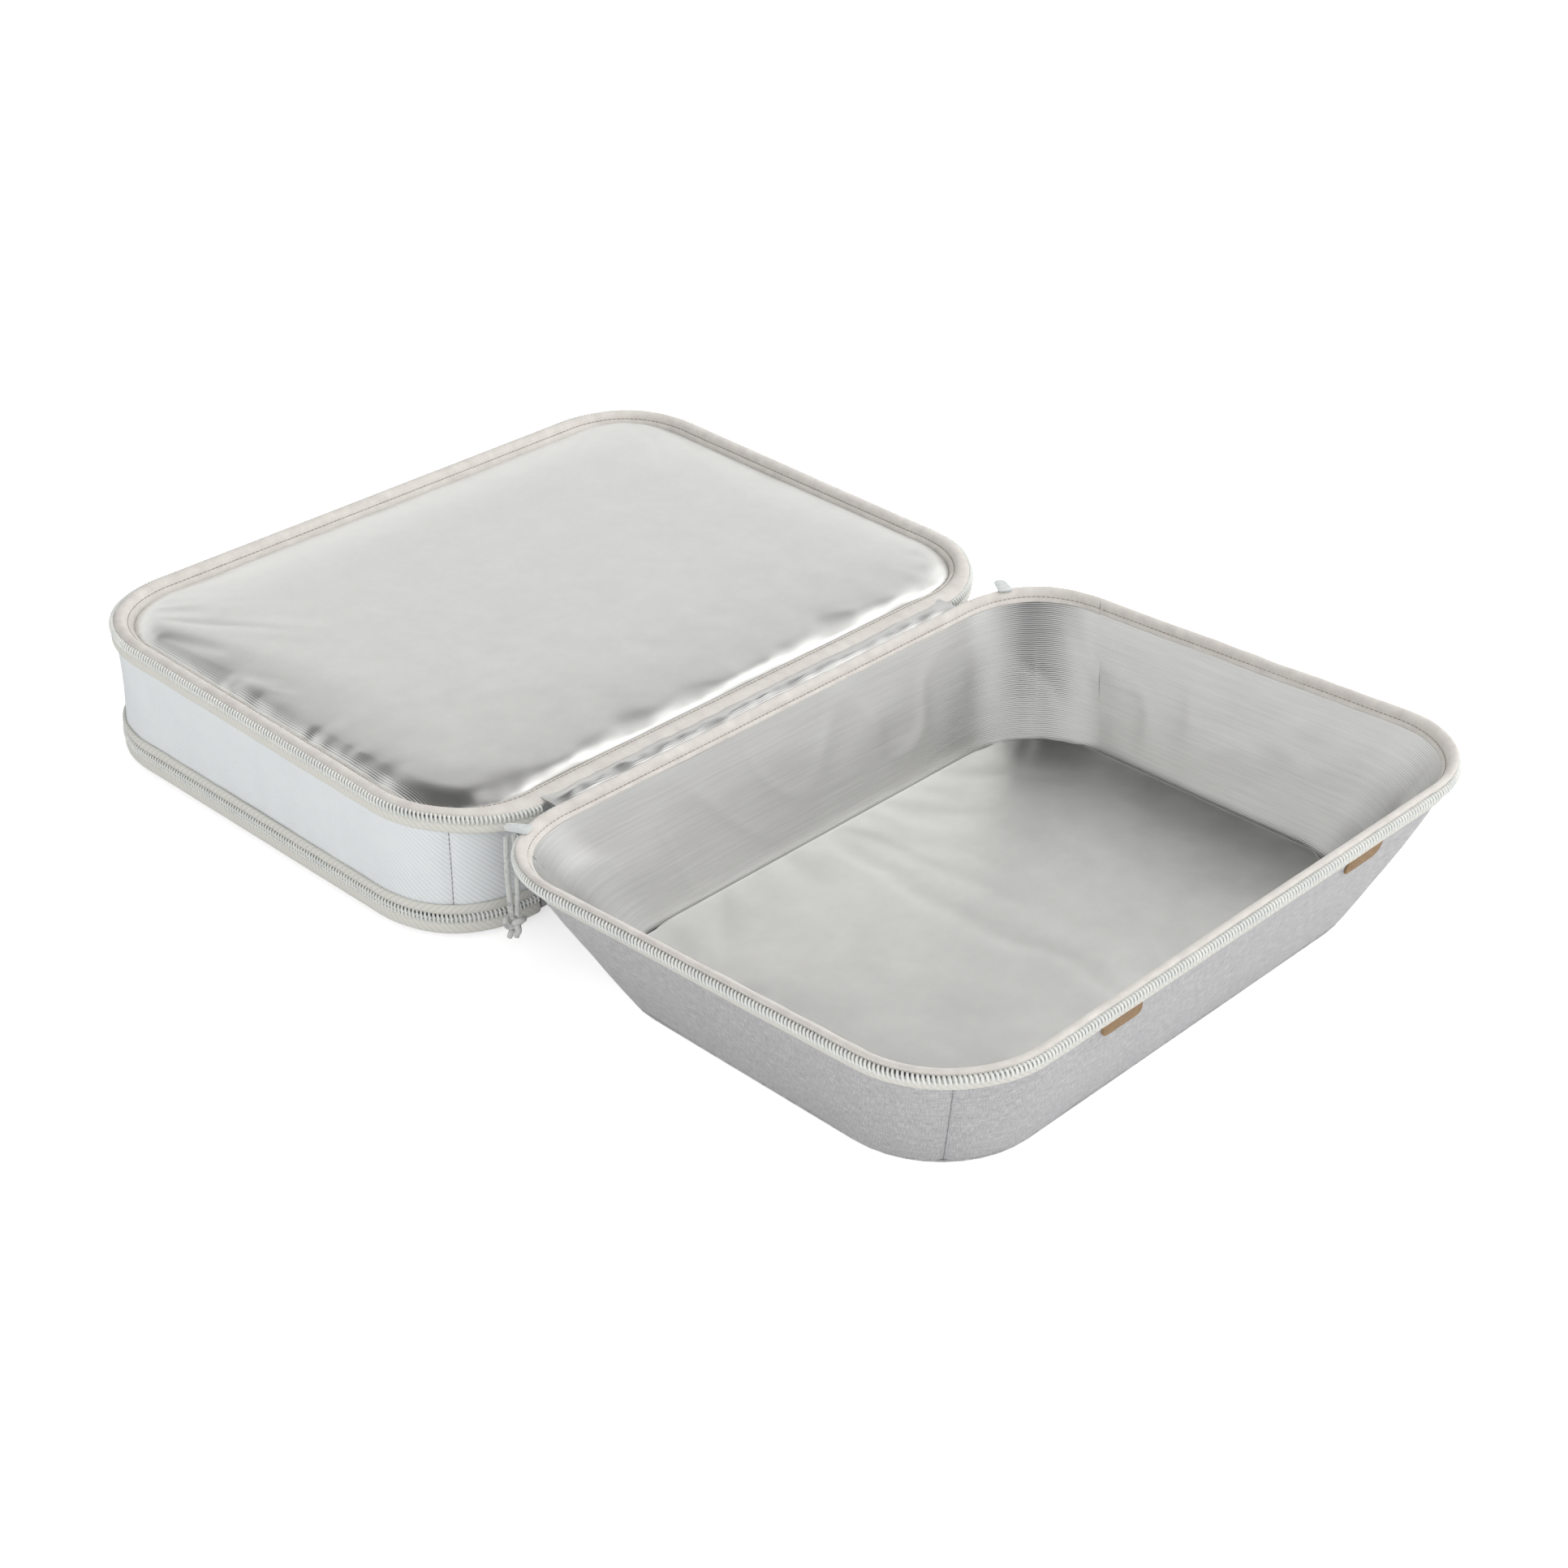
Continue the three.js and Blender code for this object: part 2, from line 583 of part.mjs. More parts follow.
function sliderCrown(middle) {
  const half = CROWN_WIDTH / 2;
  const foot = SLIDER_THICK - CROWN_ROOT;
  const roof = SLIDER_THICK + CROWN_HOLE;
  const top = roof + CROWN_LEG;
  const shape = new THREE.Shape();
  shape.moveTo(half - CROWN_LEG, foot);
  shape.lineTo(half, foot);
  shape.absarc(half - CROWN_ROUND, top - CROWN_ROUND, CROWN_ROUND, 0, Math.PI / 2);
  shape.absarc(CROWN_ROUND - half, top - CROWN_ROUND, CROWN_ROUND, Math.PI / 2, Math.PI);
  shape.lineTo(-half, foot);
  shape.lineTo(CROWN_LEG - half, foot);
  shape.lineTo(CROWN_LEG - half, roof);
  shape.lineTo(half - CROWN_LEG, roof);
  const options = { depth: CROWN_TALL, bevelEnabled: false, curveSegments: ARC_STEPS };
  return new THREE.ExtrudeGeometry(shape, options).translate(0, 0, middle - CROWN_TALL / 2);
}

const sliderGeometry = (low, high) => join(sliderPlate(low, high), sliderCrown((low + high) / 2));

// Group at a place on the zipper line, turned so that its Y points straight out
function zipperPlace(parent, station, z) {
  const offset = COIL_PROUD + SLIDER_CLEARANCE;
  const place = new THREE.Group();
  place.position.copy(outlinePoint(rimSection, station, offset, z));
  place.rotation.z = THREE.MathUtils.degToRad(station.angle - QUARTER);
  parent.add(place);
  return place;
}

// Main sliders are parked round the back corners, at the ends of the hinge
function mainSliderPlace(parent, station) {
  const { y } = outlinePoint(rimSection, station, 0, 0);
  return zipperPlace(parent, station, TUB_HEIGHT - (TUB_SAG * y) / HALF_WIDTH);
}

function addMainSlider(place, name) {
  addPiece(place, name, sliderGeometry(-SLIDER_BELOW, SLIDER_ABOVE), 'slider');
}

// Pull: round-topped strands side by side under the crown, with the knot at their foot
function strandGeometry(top) {
  const dome = Array.from({ length: ROUND_STEPS + 1 }, (_, step) => {
    const turn = (step / ROUND_STEPS) * (Math.PI / 2);
    return new THREE.Vector2(CORD_RADIUS * Math.sin(turn), CORD_RADIUS * (Math.cos(turn) - 1));
  }).reverse();
  const foot = [[0, -CORD_LENGTH], [CORD_RADIUS, -CORD_LENGTH]];
  const profile = [...foot.map(([x, y]) => new THREE.Vector2(x, y)), ...dome];
  const geometry = new THREE.LatheGeometry(profile, CORD_SIDES);
  return geometry.rotateX(Math.PI / 2).translate(0, 0, top);
}

function knotGeometry(top) {
  const steps = 2 * ROUND_STEPS;
  const profile = Array.from({ length: steps + 1 }, (_, step) => {
    const turn = (step / steps) * Math.PI;
    const radius = step % steps === 0 ? 0 : KNOT_RADIUS * Math.sin(turn);
    return new THREE.Vector2(radius, (-KNOT_HEIGHT / 2) * Math.cos(turn));
  });
  const geometry = new THREE.LatheGeometry(profile, 2 * CORD_SIDES);
  return geometry.rotateX(Math.PI / 2).translate(0, 0, top - KNOT_HEIGHT / 2);
}

function addCordPull(place, name) {
  const crownFoot = (SLIDER_ABOVE - SLIDER_BELOW - CROWN_TALL) / 2;
  const top = crownFoot - LAYER_GAP;
  const out = SLIDER_THICK + CROWN_HOLE / 2;
  [['a', -1], ['b', 1]].forEach(([end, side]) => {
    const strand = strandGeometry(top).translate((side * CORD_SPREAD) / 2, out, 0);
    addPiece(place, `${name}_strand_${end}`, strand, 'cord');
  });
  const knotTop = top - CORD_LENGTH - LAYER_GAP;
  addPiece(place, `${name}_knot`, knotGeometry(knotTop).translate(0, out, 0), 'cord');
}

// Flat puller: its eye hooks the crown, and it lies along the zipper
function pullerGeometry() {
  const eyeHalf = CROWN_TALL / 2 + PULLER_CLEARANCE;
  const half = eyeHalf + PULLER_BAR;
  const start = -PULLER_BAR / 2;
  const shape = new THREE.Shape();
  shape.moveTo(start, -half);
  shape.lineTo(start + PULLER_LENGTH - half, -half);
  shape.absarc(start + PULLER_LENGTH - half, 0, half, -Math.PI / 2, Math.PI / 2);
  shape.lineTo(start, half);
  const eye = new THREE.Path();
  eye.moveTo(-start, -eyeHalf);
  eye.lineTo(-start, eyeHalf);
  eye.lineTo(-start + PULLER_EYE, eyeHalf);
  eye.lineTo(-start + PULLER_EYE, -eyeHalf);
  shape.holes.push(eye);
  const options = { depth: PULLER_THICK, bevelEnabled: false, curveSegments: ARC_STEPS };
  const geometry = new THREE.ExtrudeGeometry(shape, options);
  return geometry.rotateX(Math.PI / 2).translate(0, PULLER_THICK / 2, 0);
}

function addLidSlider(parent, name, side) {
  const place = new THREE.Group();
  const out = HALF_WIDTH + COIL_PROUD + SLIDER_CLEARANCE;
  place.position.set((side * LID_SLIDER_SPREAD) / 2, out, LID_SEAM);
  const half = (SLIDER_BELOW + SLIDER_ABOVE) / 2;
  addPiece(place, `lid_slider_${name}`, sliderGeometry(-half, half), 'slider');
  const puller = pullerGeometry().rotateY(side > 0 ? 0 : Math.PI);
  const hook = SLIDER_THICK + CROWN_HOLE / 2;
  addPiece(place, `lid_puller_${name}`, puller.translate(0, hook, 0), 'slider');
  parent.add(place);
}

// Assembly
const carrier = new THREE.Group();
addTubFloor(carrier);
addTubWalls(carrier);
addTubRim(carrier);
addTab(carrier, 'tab_left', -TAB_SPREAD / 2);
addTab(carrier, 'tab_right', TAB_SPREAD / 2);

const leftPlace = mainSliderPlace(carrier, { quadrant: 1, angle: 2 * QUARTER - SLIDER_PARK, along: 0 });
addMainSlider(leftPlace, 'main_slider_left');
addCordPull(leftPlace, 'pull_left');
const rightPlace = mainSliderPlace(carrier, { quadrant: 0, angle: SLIDER_PARK, along: 0 });
addMainSlider(rightPlace, 'main_slider_right');

const cover = new THREE.Group();
cover.position.y = COVER_Y;
addGusset(cover);
addDivider(cover);
addCoverEdges(cover);
addLid(cover);
addHandle(cover, 'front', Math.PI);
addHandle(cover, 'back', 0);
addLidSlider(cover, 'left', -1);
addLidSlider(cover, 'right', 1);
carrier.add(cover);

export default carrier;
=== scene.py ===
"""Two-level insulated casserole carrier, standing open.

A flared tub of heather canvas, lined with foil, is hinged along its back rim to an upper
compartment, which lies upside down beyond it on its own zipped lid. Sizes are millimetres.
"""

import math

import bpy
from mathutils import Matrix, Vector, noise


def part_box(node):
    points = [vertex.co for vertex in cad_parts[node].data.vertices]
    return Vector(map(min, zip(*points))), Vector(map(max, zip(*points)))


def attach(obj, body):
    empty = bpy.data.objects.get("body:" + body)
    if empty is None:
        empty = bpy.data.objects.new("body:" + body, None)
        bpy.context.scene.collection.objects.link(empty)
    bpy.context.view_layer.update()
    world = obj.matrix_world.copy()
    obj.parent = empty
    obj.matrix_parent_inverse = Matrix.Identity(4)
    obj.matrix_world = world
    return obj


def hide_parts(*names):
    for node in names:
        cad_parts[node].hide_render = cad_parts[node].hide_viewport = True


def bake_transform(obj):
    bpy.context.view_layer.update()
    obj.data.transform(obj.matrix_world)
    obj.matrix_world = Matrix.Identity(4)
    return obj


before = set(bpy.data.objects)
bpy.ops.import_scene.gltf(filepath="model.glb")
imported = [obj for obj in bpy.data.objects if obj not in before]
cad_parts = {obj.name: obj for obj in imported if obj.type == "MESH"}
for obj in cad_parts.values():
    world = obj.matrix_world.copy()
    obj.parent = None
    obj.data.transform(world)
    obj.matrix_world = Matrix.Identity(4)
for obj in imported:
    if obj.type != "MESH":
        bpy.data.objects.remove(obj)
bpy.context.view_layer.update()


# View
# A long lens at eye height looks down over the tub's left front corner, so the tub's left
# and front walls, the upper compartment's left side and both linings show.

MM = 0.001
VIEW_AZIMUTH = math.radians(-45.53)
VIEW_ELEVATION = math.radians(31.18)
VIEW_DISTANCE = 1476.76
VIEW_TARGET = Vector((-41.2, 112.03, 60))
VIEW_LENS = 64.38
VIEW_SENSOR = 36

scene = bpy.context.scene
scene.view_settings.view_transform = "Standard"
towards_camera = Vector((
    math.sin(VIEW_AZIMUTH) * math.cos(VIEW_ELEVATION),
    -math.cos(VIEW_AZIMUTH) * math.cos(VIEW_ELEVATION),
    math.sin(VIEW_ELEVATION),
))
bpy.ops.object.camera_add(location=(VIEW_TARGET + towards_camera * VIEW_DISTANCE) * MM)
camera = bpy.context.object
camera.rotation_euler = (-towards_camera).to_track_quat("-Z", "Y").to_euler()
camera.data.sensor_width = VIEW_SENSOR
camera.data.lens = VIEW_LENS
scene.camera = camera


# Base of the tub
# A panel of the same canvas as the walls, cut to the foot of the tub and sewn in under a
# stiff polyethylene board, which slips in between the panel and the floor padding.

BASE = (356, 252, 58)
BASE_FABRIC = 1
CANVAS_THREAD = 0.65
CANVAS_STREAK = 6
CANVAS_SLUB = 45
BOARD_GRAIN = 25 / 3


def linear(code):
    """Scene colour of an sRGB hex value."""
    channels = [int(code[place:place + 2], 16) / 255 for place in (1, 3, 5)]
    return (*(c / 12.92 if c <= 0.04045 else ((c + 0.055) / 1.055) ** 2.4 for c in channels), 1)


def add_node(tree, kind, inputs=(), to=None, **settings):
    """New shader node with its settings, inputs (values or outputs) and what it feeds."""
    made = tree.nodes.new(f"ShaderNode{kind}")
    for name, value in settings.items():
        setattr(made, name, value)
    for place, value in dict(inputs).items():
        if isinstance(value, bpy.types.NodeSocket):
            tree.links.new(value, made.inputs[place])
        else:
            made.inputs[place].default_value = value
    if to is not None:
        tree.links.new(made.outputs[0], to)
    return made


def new_finish(name, roughness, surface="Object", metallic=0.0):
    """Material with its tree, shader and coordinates, ready for its pattern."""
    material = bpy.data.materials.new(name)
    material.use_nodes = True
    shader = material.node_tree.nodes["Principled BSDF"]
    shader.inputs["Roughness"].default_value = roughness
    shader.inputs["Metallic"].default_value = metallic
    tree = material.node_tree
    return material, tree, shader, add_node(tree, "TexCoord").outputs[surface]


def bands(pitch):
    """Scale of a band texture whose bands lie that many millimetres apart."""
    return math.pi / 10 / (pitch * MM)


def set_ramp(ramp, *stops):
    """Colour ramp through (place, sRGB hex) stops."""
    elements = ramp.color_ramp.elements
    while len(elements) < len(stops):
        elements.new(1)
    for element, (place, code) in zip(elements, stops):
        element.position = place
        element.color = linear(code)


def mottle(tree, shader, place, spread, detail, *stops, roughness=0.5):
    """Colours a finish in blotches that many millimetres wide, and gives their pattern."""
    blotches = add_node(tree, "TexNoise", {
        "Vector": place, "Scale": 1 / spread / MM, "Detail": detail, "Roughness": roughness})
    set_ramp(add_node(
        tree, "ValToRGB", {"Fac": blotches.outputs["Fac"]},
        shader.inputs["Base Color"]), *stops)
    return blotches.outputs["Fac"]


def plain_weave(tree, cloth, pitch, hand):
    """Height of a plain weave of threads at that pitch, as uneven as its hand."""
    threads = [
        add_node(tree, "TexWave", {
            "Vector": cloth, "Scale": bands(pitch), **hand}, bands_direction=direction)
        for direction in ("X", "Y")]
    return add_node(tree, "Math", {
        0: threads[0].outputs["Fac"], 1: threads[1].outputs["Fac"]}, operation="ADD").outputs[0]


# Heather canvas: polyester yarns dyed in several greys and woven plain, so the face shows
# short pale and dark streaks along both threads, and now and then a long pale slub. The
# thread pitch is drawn a little coarse, so that the weave shows.
canvas, tree, shader, cloth = new_finish("heather_canvas", 0.92, "UV")
shader.inputs["Sheen Weight"].default_value = 0.12
shader.inputs["Sheen Roughness"].default_value = 0.6
weft = add_node(tree, "Mapping", {
    "Vector": cloth, "Scale": (1 / CANVAS_STREAK / MM, 1 / CANVAS_THREAD / MM, 1)})
warp = add_node(tree, "Mapping", {
    "Vector": cloth, "Scale": (1 / CANVAS_THREAD / MM, 1 / CANVAS_STREAK / MM, 1)})
streaks = [
    add_node(tree, "TexNoise", {
        "Vector": thread.outputs[0], "Scale": 1.0, "Detail": 2.0, "Roughness": 0.6})
    for thread in (weft, warp)]
both = add_node(tree, "Math", {
    0: streaks[0].outputs["Fac"], 1: streaks[1].outputs["Fac"]}, operation="ADD")
half = add_node(tree, "Math", {0: both.outputs[0], 1: 0.5}, operation="MULTIPLY")
melange = add_node(tree, "ValToRGB", {"Fac": half.outputs[0]})
set_ramp(melange, (0.34, "#98979B"), (0.5, "#B5B4B6"), (0.66, "#D2D1D0"))
colour = melange.outputs["Color"]
for lean, cover in ((0.0, 0.3), (1.5708, 0.3), (0.8, 0.45), (-0.8, 0.4)):
    turned = add_node(tree, "Mapping", {
        "Vector": cloth, "Rotation": (0, 0, lean),
        "Scale": (1 / CANVAS_SLUB / MM, 1 / CANVAS_THREAD / MM, 1)})
    slub = add_node(tree, "TexNoise", {
        "Vector": turned.outputs[0], "Scale": 1.0, "Detail": 1.0})
    sparse = add_node(tree, "MapRange", {
        "Value": slub.outputs["Fac"], "From Min": 0.62, "From Max": 0.76,
        "To Min": 0.0, "To Max": cover})
    pale = add_node(tree, "Mix", {
        0: sparse.outputs[0], 6: colour, 7: linear("#E2E1DE")}, data_type="RGBA")
    colour = pale.outputs[2]
tree.links.new(colour, shader.inputs["Base Color"])
weave = plain_weave(
    tree, cloth, CANVAS_THREAD, {"Distortion": 0.6, "Detail": 1.0, "Detail Scale": 2.0})
add_node(tree, "Bump", {
    "Strength": 0.35, "Distance": 0.12 * MM, "Height": weave}, shader.inputs["Normal"])

# Polyethylene board: extruded sheet, smooth and dull, with faint drawing lines.
board, tree, shader, place = new_finish("polyethylene_sheet", 0.55)
mottle(tree, shader, place, BOARD_GRAIN, 3.0, (0.3, "#84868A"), (0.7, "#929498"))


def dress(piece, finish, body=None, slot=None, *nodes):
    """Gives a piece its material, the body it rides on and what it stands for; slot is not
    used.
    """
    piece.data.materials.clear()
    piece.data.materials.append(finish)
    if body:
        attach(piece, body)
    if nodes:
        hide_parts(*nodes)


def select_only(piece):
    """Leaves one object selected and active, for the operators."""
    bpy.ops.object.select_all(action="DESELECT")
    piece.select_set(True)
    bpy.context.view_layer.objects.active = piece


def start_piece(name, add, **settings):
    """New piece from the primitive that an operator adds, selected alone."""
    bpy.ops.object.select_all(action="DESELECT")
    add(**settings)
    piece = bpy.context.object
    piece.name = piece.data.name = name
    bpy.ops.object.transform_apply(location=True, rotation=True, scale=True)
    return piece


def edit_all(piece):
    """Opens a piece's mesh with all of it selected."""
    select_only(piece)
    bpy.ops.object.mode_set(mode="EDIT")
    bpy.ops.mesh.select_all(action="SELECT")


def shape_with(piece, kind, **settings):
    """Adds one modifier and applies it."""
    select_only(piece)
    modifier = piece.modifiers.new(kind.title(), kind)
    for name, value in settings.items():
        setattr(modifier, name, value)
    bpy.ops.object.modifier_apply(modifier=modifier.name)


def round_edges(piece, width, segments=2):
    """Eases a piece's sharp edges."""
    shape_with(piece, "BEVEL", width=width * MM, segments=segments, limit_method="ANGLE")


def round_plate(name, section, low, high):
    """Flat piece cut from a rectangle with rounded corners, at its size and height."""
    length, width, radius = section
    piece = start_piece(name, bpy.ops.mesh.primitive_plane_add, size=MM)
    edit_all(piece)
    bpy.ops.transform.resize(value=(length, width, 1))
    bpy.ops.transform.translate(value=(0, 0, low * MM))
    bpy.ops.mesh.bevel(offset=radius * MM, segments=10, affect="VERTICES")
    bpy.ops.mesh.extrude_region_move(
        TRANSFORM_OT_translate={"value": (0, 0, (high - low) * MM)})
    bpy.ops.mesh.select_all(action="SELECT")
    bpy.ops.mesh.normals_make_consistent(inside=False)
    bpy.ops.object.mode_set(mode="OBJECT")
    for corner in piece.data.uv_layers.active.data:
        corner.uv = (corner.uv[0] * length * MM, corner.uv[1] * width * MM)
    return piece


base_panel = round_plate("base_panel", BASE, 0, BASE_FABRIC)
round_edges(base_panel, 0.3)
dress(base_panel, canvas, "tub", "heather_fabric", "tub_base_panel")
dress(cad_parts["tub_base_board"], board)


# Walls of the tub
# Four panels of the canvas laminated to foam, flared from the base to the rim and sewn to
# each other in the middle of the corners, where the seams pull soft wrinkles.

RIM = (430, 326, 60)
HALF_WIDTH = RIM[1] / 2
TUB_HEIGHT = 84
TUB_SAG = 7
WALL_FOOT = 1.3
WALL_LOW = 0.2
WALL_HIGH = TUB_HEIGHT - 8
WALL_THICK = 3.8
WALL_FLARE = 1.15
TUB_PULLS = (3.2, 3.2, 0, 0)
CORNERS = ((1, 1), (-1, 1), (-1, -1), (1, -1))
CORNER_RUN = RIM[2] * math.pi / 2
SIDE_RUNS = (RIM[0] - 2 * RIM[2], RIM[1] - 2 * RIM[2])
ROUND = 4 * CORNER_RUN + 2 * sum(SIDE_RUNS)
SEAMS = [CORNER_RUN / 2]
for number in range(4):
    SEAMS.append(SEAMS[-1] + CORNER_RUN + SIDE_RUNS[number % 2])


def outline(section, along, out):
    """Point on a rounded rectangle, at a length along the rim from its +X corner."""
    length, width, radius = section
    along %= ROUND
    quadrant = 0
    while along > CORNER_RUN + SIDE_RUNS[quadrant % 2]:
        along -= CORNER_RUN + SIDE_RUNS[quadrant % 2]
        quadrant += 1
    share = max(along - CORNER_RUN, 0) / SIDE_RUNS[quadrant % 2]
    turn = (quadrant + min(along / CORNER_RUN, 1)) * math.pi / 2
    here, there = CORNERS[quadrant % 4], CORNERS[(quadrant + 1) % 4]
    x, y = (a + (b - a) * share for a, b in zip(here, there))
    return (
        x * (length / 2 - radius) + (radius + out) * math.cos(turn),
        y * (width / 2 - radius) + (radius + out) * math.sin(turn),
    )


def corner_pull(along, pulls):
    """How far the corners stand out, where the ends of the zipper square them."""
    apart = [abs(along % ROUND - seam) for seam in SEAMS[:4]]
    near = [min(gap, ROUND - gap) for gap in apart]
    return sum(pull * math.exp(-((gap / 30) ** 2)) for gap, pull in zip(near, pulls))


def tub_point(along, out, z):
    """Point on the tub's wall, drawn out from it; the rim sags towards the hinge."""
    share = z / TUB_HEIGHT
    section = [low + (high - low) * share for low, high in zip(BASE, RIM)]
    x, y = outline(section, along, out + corner_pull(along, TUB_PULLS) * share * share)
    rise = (z - WALL_FOOT) / (TUB_HEIGHT - WALL_FOOT)
    return x, y, z - TUB_SAG * rise * y / HALF_WIDTH


def lay_cloth(name, columns, rows, size, place):
    """Grid of cloth laid where place(along, up) puts it, with its UV map in metres."""
    piece = start_piece(
        name, bpy.ops.mesh.primitive_grid_add, x_subdivisions=columns, y_subdivisions=rows,
        size=1)
    for vertex in piece.data.vertices:
        point = place(vertex.co.x + 0.5, vertex.co.y + 0.5)
        vertex.co = Vector(point) * MM
    for corner in piece.data.uv_layers.active.data:
        corner.uv = (corner.uv[0] * size[0] * MM, corner.uv[1] * size[1] * MM)
    return piece


def smooth(piece, angle=40):
    """Shades a piece smooth, but for its sharp edges."""
    select_only(piece)
    bpy.ops.object.shade_smooth_by_angle(angle=math.radians(angle))


def bump(x, y, spread, height):
    """Gentle unevenness of hand-sewn cloth."""
    return noise.noise(Vector((x / spread, y / spread, 0.37))) * height


def canvas_relief(from_seam, along, z):
    """How far the canvas stands out: foam, seam, pulled wrinkles and hand."""
    share = z / WALL_HIGH
    foam = 1.3 * math.sin(math.pi * min(max(share, 0), 1)) ** 0.8
    seam = -1.5 * math.exp(-((from_seam / 2.6) ** 2))
    near = math.exp(-((from_seam / 30) ** 2)) * math.exp(-(((share - 0.78) / 0.17) ** 2))
    pulled = 0.55 * near * math.sin(math.tau * (z / 8.5 + (from_seam / 24) ** 2))
    creased = 0.22 * math.exp(-((from_seam / 60) ** 2)) * math.sin(from_seam / 5 + z / 6)
    foot = -1.4 * max(1 - z / 4, 0) ** 2
    return foam + seam + pulled + creased + foot + bump(along, z, 62, 0.7)


def thicken(piece, thick, offset):
    """Gives laid cloth its thickness, inwards (offset -1) or outwards (1)."""
    shape_with(piece, "SOLIDIFY", thickness=thick * MM, offset=offset)
    smooth(piece, 60)


def stand_walls(name, sides, rows, tall, low, high, point, relief, finish, body, slot, part):
    """Four padded panels between the corner seams, each for its cloth and its foam."""
    for side, start, end in zip(sides, SEAMS, SEAMS[1:]):
        def place(u, v):
            along = start + u * (end - start)
            z = low + v * (high - low)
            return point(along, relief(min(along - start, end - along), along, z), z)

        long = end - start
        wall = lay_cloth(f"{name}_{side}", int(long / 3), rows, (long, tall), place)
        thicken(wall, WALL_THICK, -1)
        dress(wall, finish, body, slot, f"{part}_wall_{side}", f"{part}_foam_{side}")


stand_walls(
    "canvas_wall", ("back", "left", "front", "right"), 26, WALL_HIGH * WALL_FLARE, WALL_LOW,
    WALL_HIGH, tub_point, canvas_relief, canvas, "tub", "heather_fabric", "tub")


# Corner seams of the tub
# Polyester thread in a darker grey, partly painted shade, lock-stitched down the middle of
# each corner, where it lies in the groove between two panels.

SEAM_STITCH = {"length": 2.2, "pitch": 3.0, "thick": 0.7}
THREAD_TWIST = 1.5

# Polyester thread: twisted and slightly glossy, in a dark grey that is partly painted
# shade, for the shadow in its stitch holes.
thread, tree, shader, place = new_finish("polyester_thread", 0.6)
mottle(tree, shader, place, THREAD_TWIST, 1.0, (0.35, "#87868A"), (0.65, "#A4A3A6"))


def thread_path(name, points):
    """Line through points, for what is bent along it."""
    line = bpy.data.curves.new(name, "CURVE")
    line.dimensions = "3D"
    line.twist_mode = "Z_UP"
    run = line.splines.new("POLY")
    run.points.add(len(points) - 1)
    for knot, point in zip(run.points, points):
        knot.co = (*(Vector(point) * MM), 1)
    path = bpy.data.objects.new(name, line)
    scene.collection.objects.link(path)
    return path


def path_length(points):
    """Length of a line through points."""
    return sum((Vector(b) - Vector(a)).length for a, b in zip(points, points[1:]))


def bend_along(piece, points):
    """Bends a straight piece along a line through points."""
    path = thread_path("bending_line", points)
    shape_with(piece, "CURVE", object=path, deform_axis="POS_X")
    bpy.data.objects.remove(path)


def stitch_line(name, points, finish, body, length, pitch, thick):
    """Row of stitches along a line: one is shaped, then repeated and bent with it."""
    row = start_piece(
        name, bpy.ops.mesh.primitive_cylinder_add, vertices=6, radius=thick / 2 * MM,
        depth=length * MM, location=(pitch / 2 * MM, 0, 0), rotation=(0, math.pi / 2, 0))
    edit_all(row)
    bpy.ops.mesh.bevel(offset=thick / 5 * MM, segments=1, affect="EDGES")
    bpy.ops.object.mode_set(mode="OBJECT")
    shape_with(
        row, "ARRAY", count=int(path_length(points) / pitch), use_relative_offset=False,
        use_constant_offset=True, constant_offset_displace=(pitch * MM, 0, 0))
    bend_along(row, points)
    smooth(row)
    dress(row, finish, body)


def sew_corners(body, low, tall, point, relief):
    """Stitches down the groove in the middle of each corner."""
    for number, seam in enumerate(SEAMS[:4]):
        heights = [low + step * tall / 40 for step in range(41)]
        groove = [point(seam, relief(0, seam, z) + 0.1, z) for z in heights]
        stitch_line(f"{body}_seam_{number}", groove, thread, body, **SEAM_STITCH)


sew_corners("tub", 3, WALL_HIGH - 4, tub_point, canvas_relief)


# Lining of the tub's walls
# One strip of foil-faced scrim, folded at the corners and caught under the rim binding at
# the top and the floor padding at the foot. The foil creases where it was folded.

LINING_LOW = 4.5
LINING_HIGH = TUB_HEIGHT - 5.2
LINING_FACE = -5.5
FOIL = 0.5
FOIL_RIB = 1.1


def press_foil(tree, shader, sheen_mottle, gloss, surface, way, depth):
    """Uneven gloss that follows a sheen mottle, and ribs pressed into it, spaced along one way.
    """
    add_node(tree, "MapRange", {
        "Value": sheen_mottle, "To Min": gloss[0], "To Max": gloss[1]}, shader.inputs["Roughness"])
    ribs = add_node(tree, "TexWave", {
        "Vector": surface, "Scale": bands(FOIL_RIB), "Distortion": 0.8, "Detail": 2.0,
        "Detail Scale": 0.6}, bands_direction=way)
    add_node(tree, "Bump", {
        "Strength": depth, "Distance": 0.1 * MM, "Height": ribs.outputs["Fac"]},
        shader.inputs["Normal"])


# Aluminised film on a woven scrim: a bright soft mirror with fine straight ribs, where the
# threads press through. The ribs are drawn at the scrim's own pitch.
foil, tree, shader, cloth = new_finish("ribbed_foil", 0.3, "UV", 1.0)
drawn = add_node(tree, "Mapping", {
    "Vector": cloth, "Scale": (1 / 60 / MM, 1 / 1.6 / MM, 1)})
sheen_mottle = add_node(tree, "TexNoise", {
    "Vector": drawn.outputs[0], "Scale": 1.0, "Detail": 3.0, "Roughness": 0.6})
# Painted sheen: the long streaks lighten and darken the foil's colour along its ribs; they also
# vary its gloss.
tint = add_node(tree, "ValToRGB", {"Fac": sheen_mottle.outputs["Fac"]}, shader.inputs["Base Color"])
set_ramp(tint, (0.3, "#CFCFCD"), (0.7, "#DCDCDA"))
press_foil(tree, shader, sheen_mottle.outputs["Fac"], (0.24, 0.38), cloth, "Y", 0.5)


def weld(piece):
    """Joins the edges of a cloth that closes on itself."""
    edit_all(piece)
    bpy.ops.mesh.remove_doubles(threshold=0.005 * MM)
    bpy.ops.object.mode_set(mode="OBJECT")


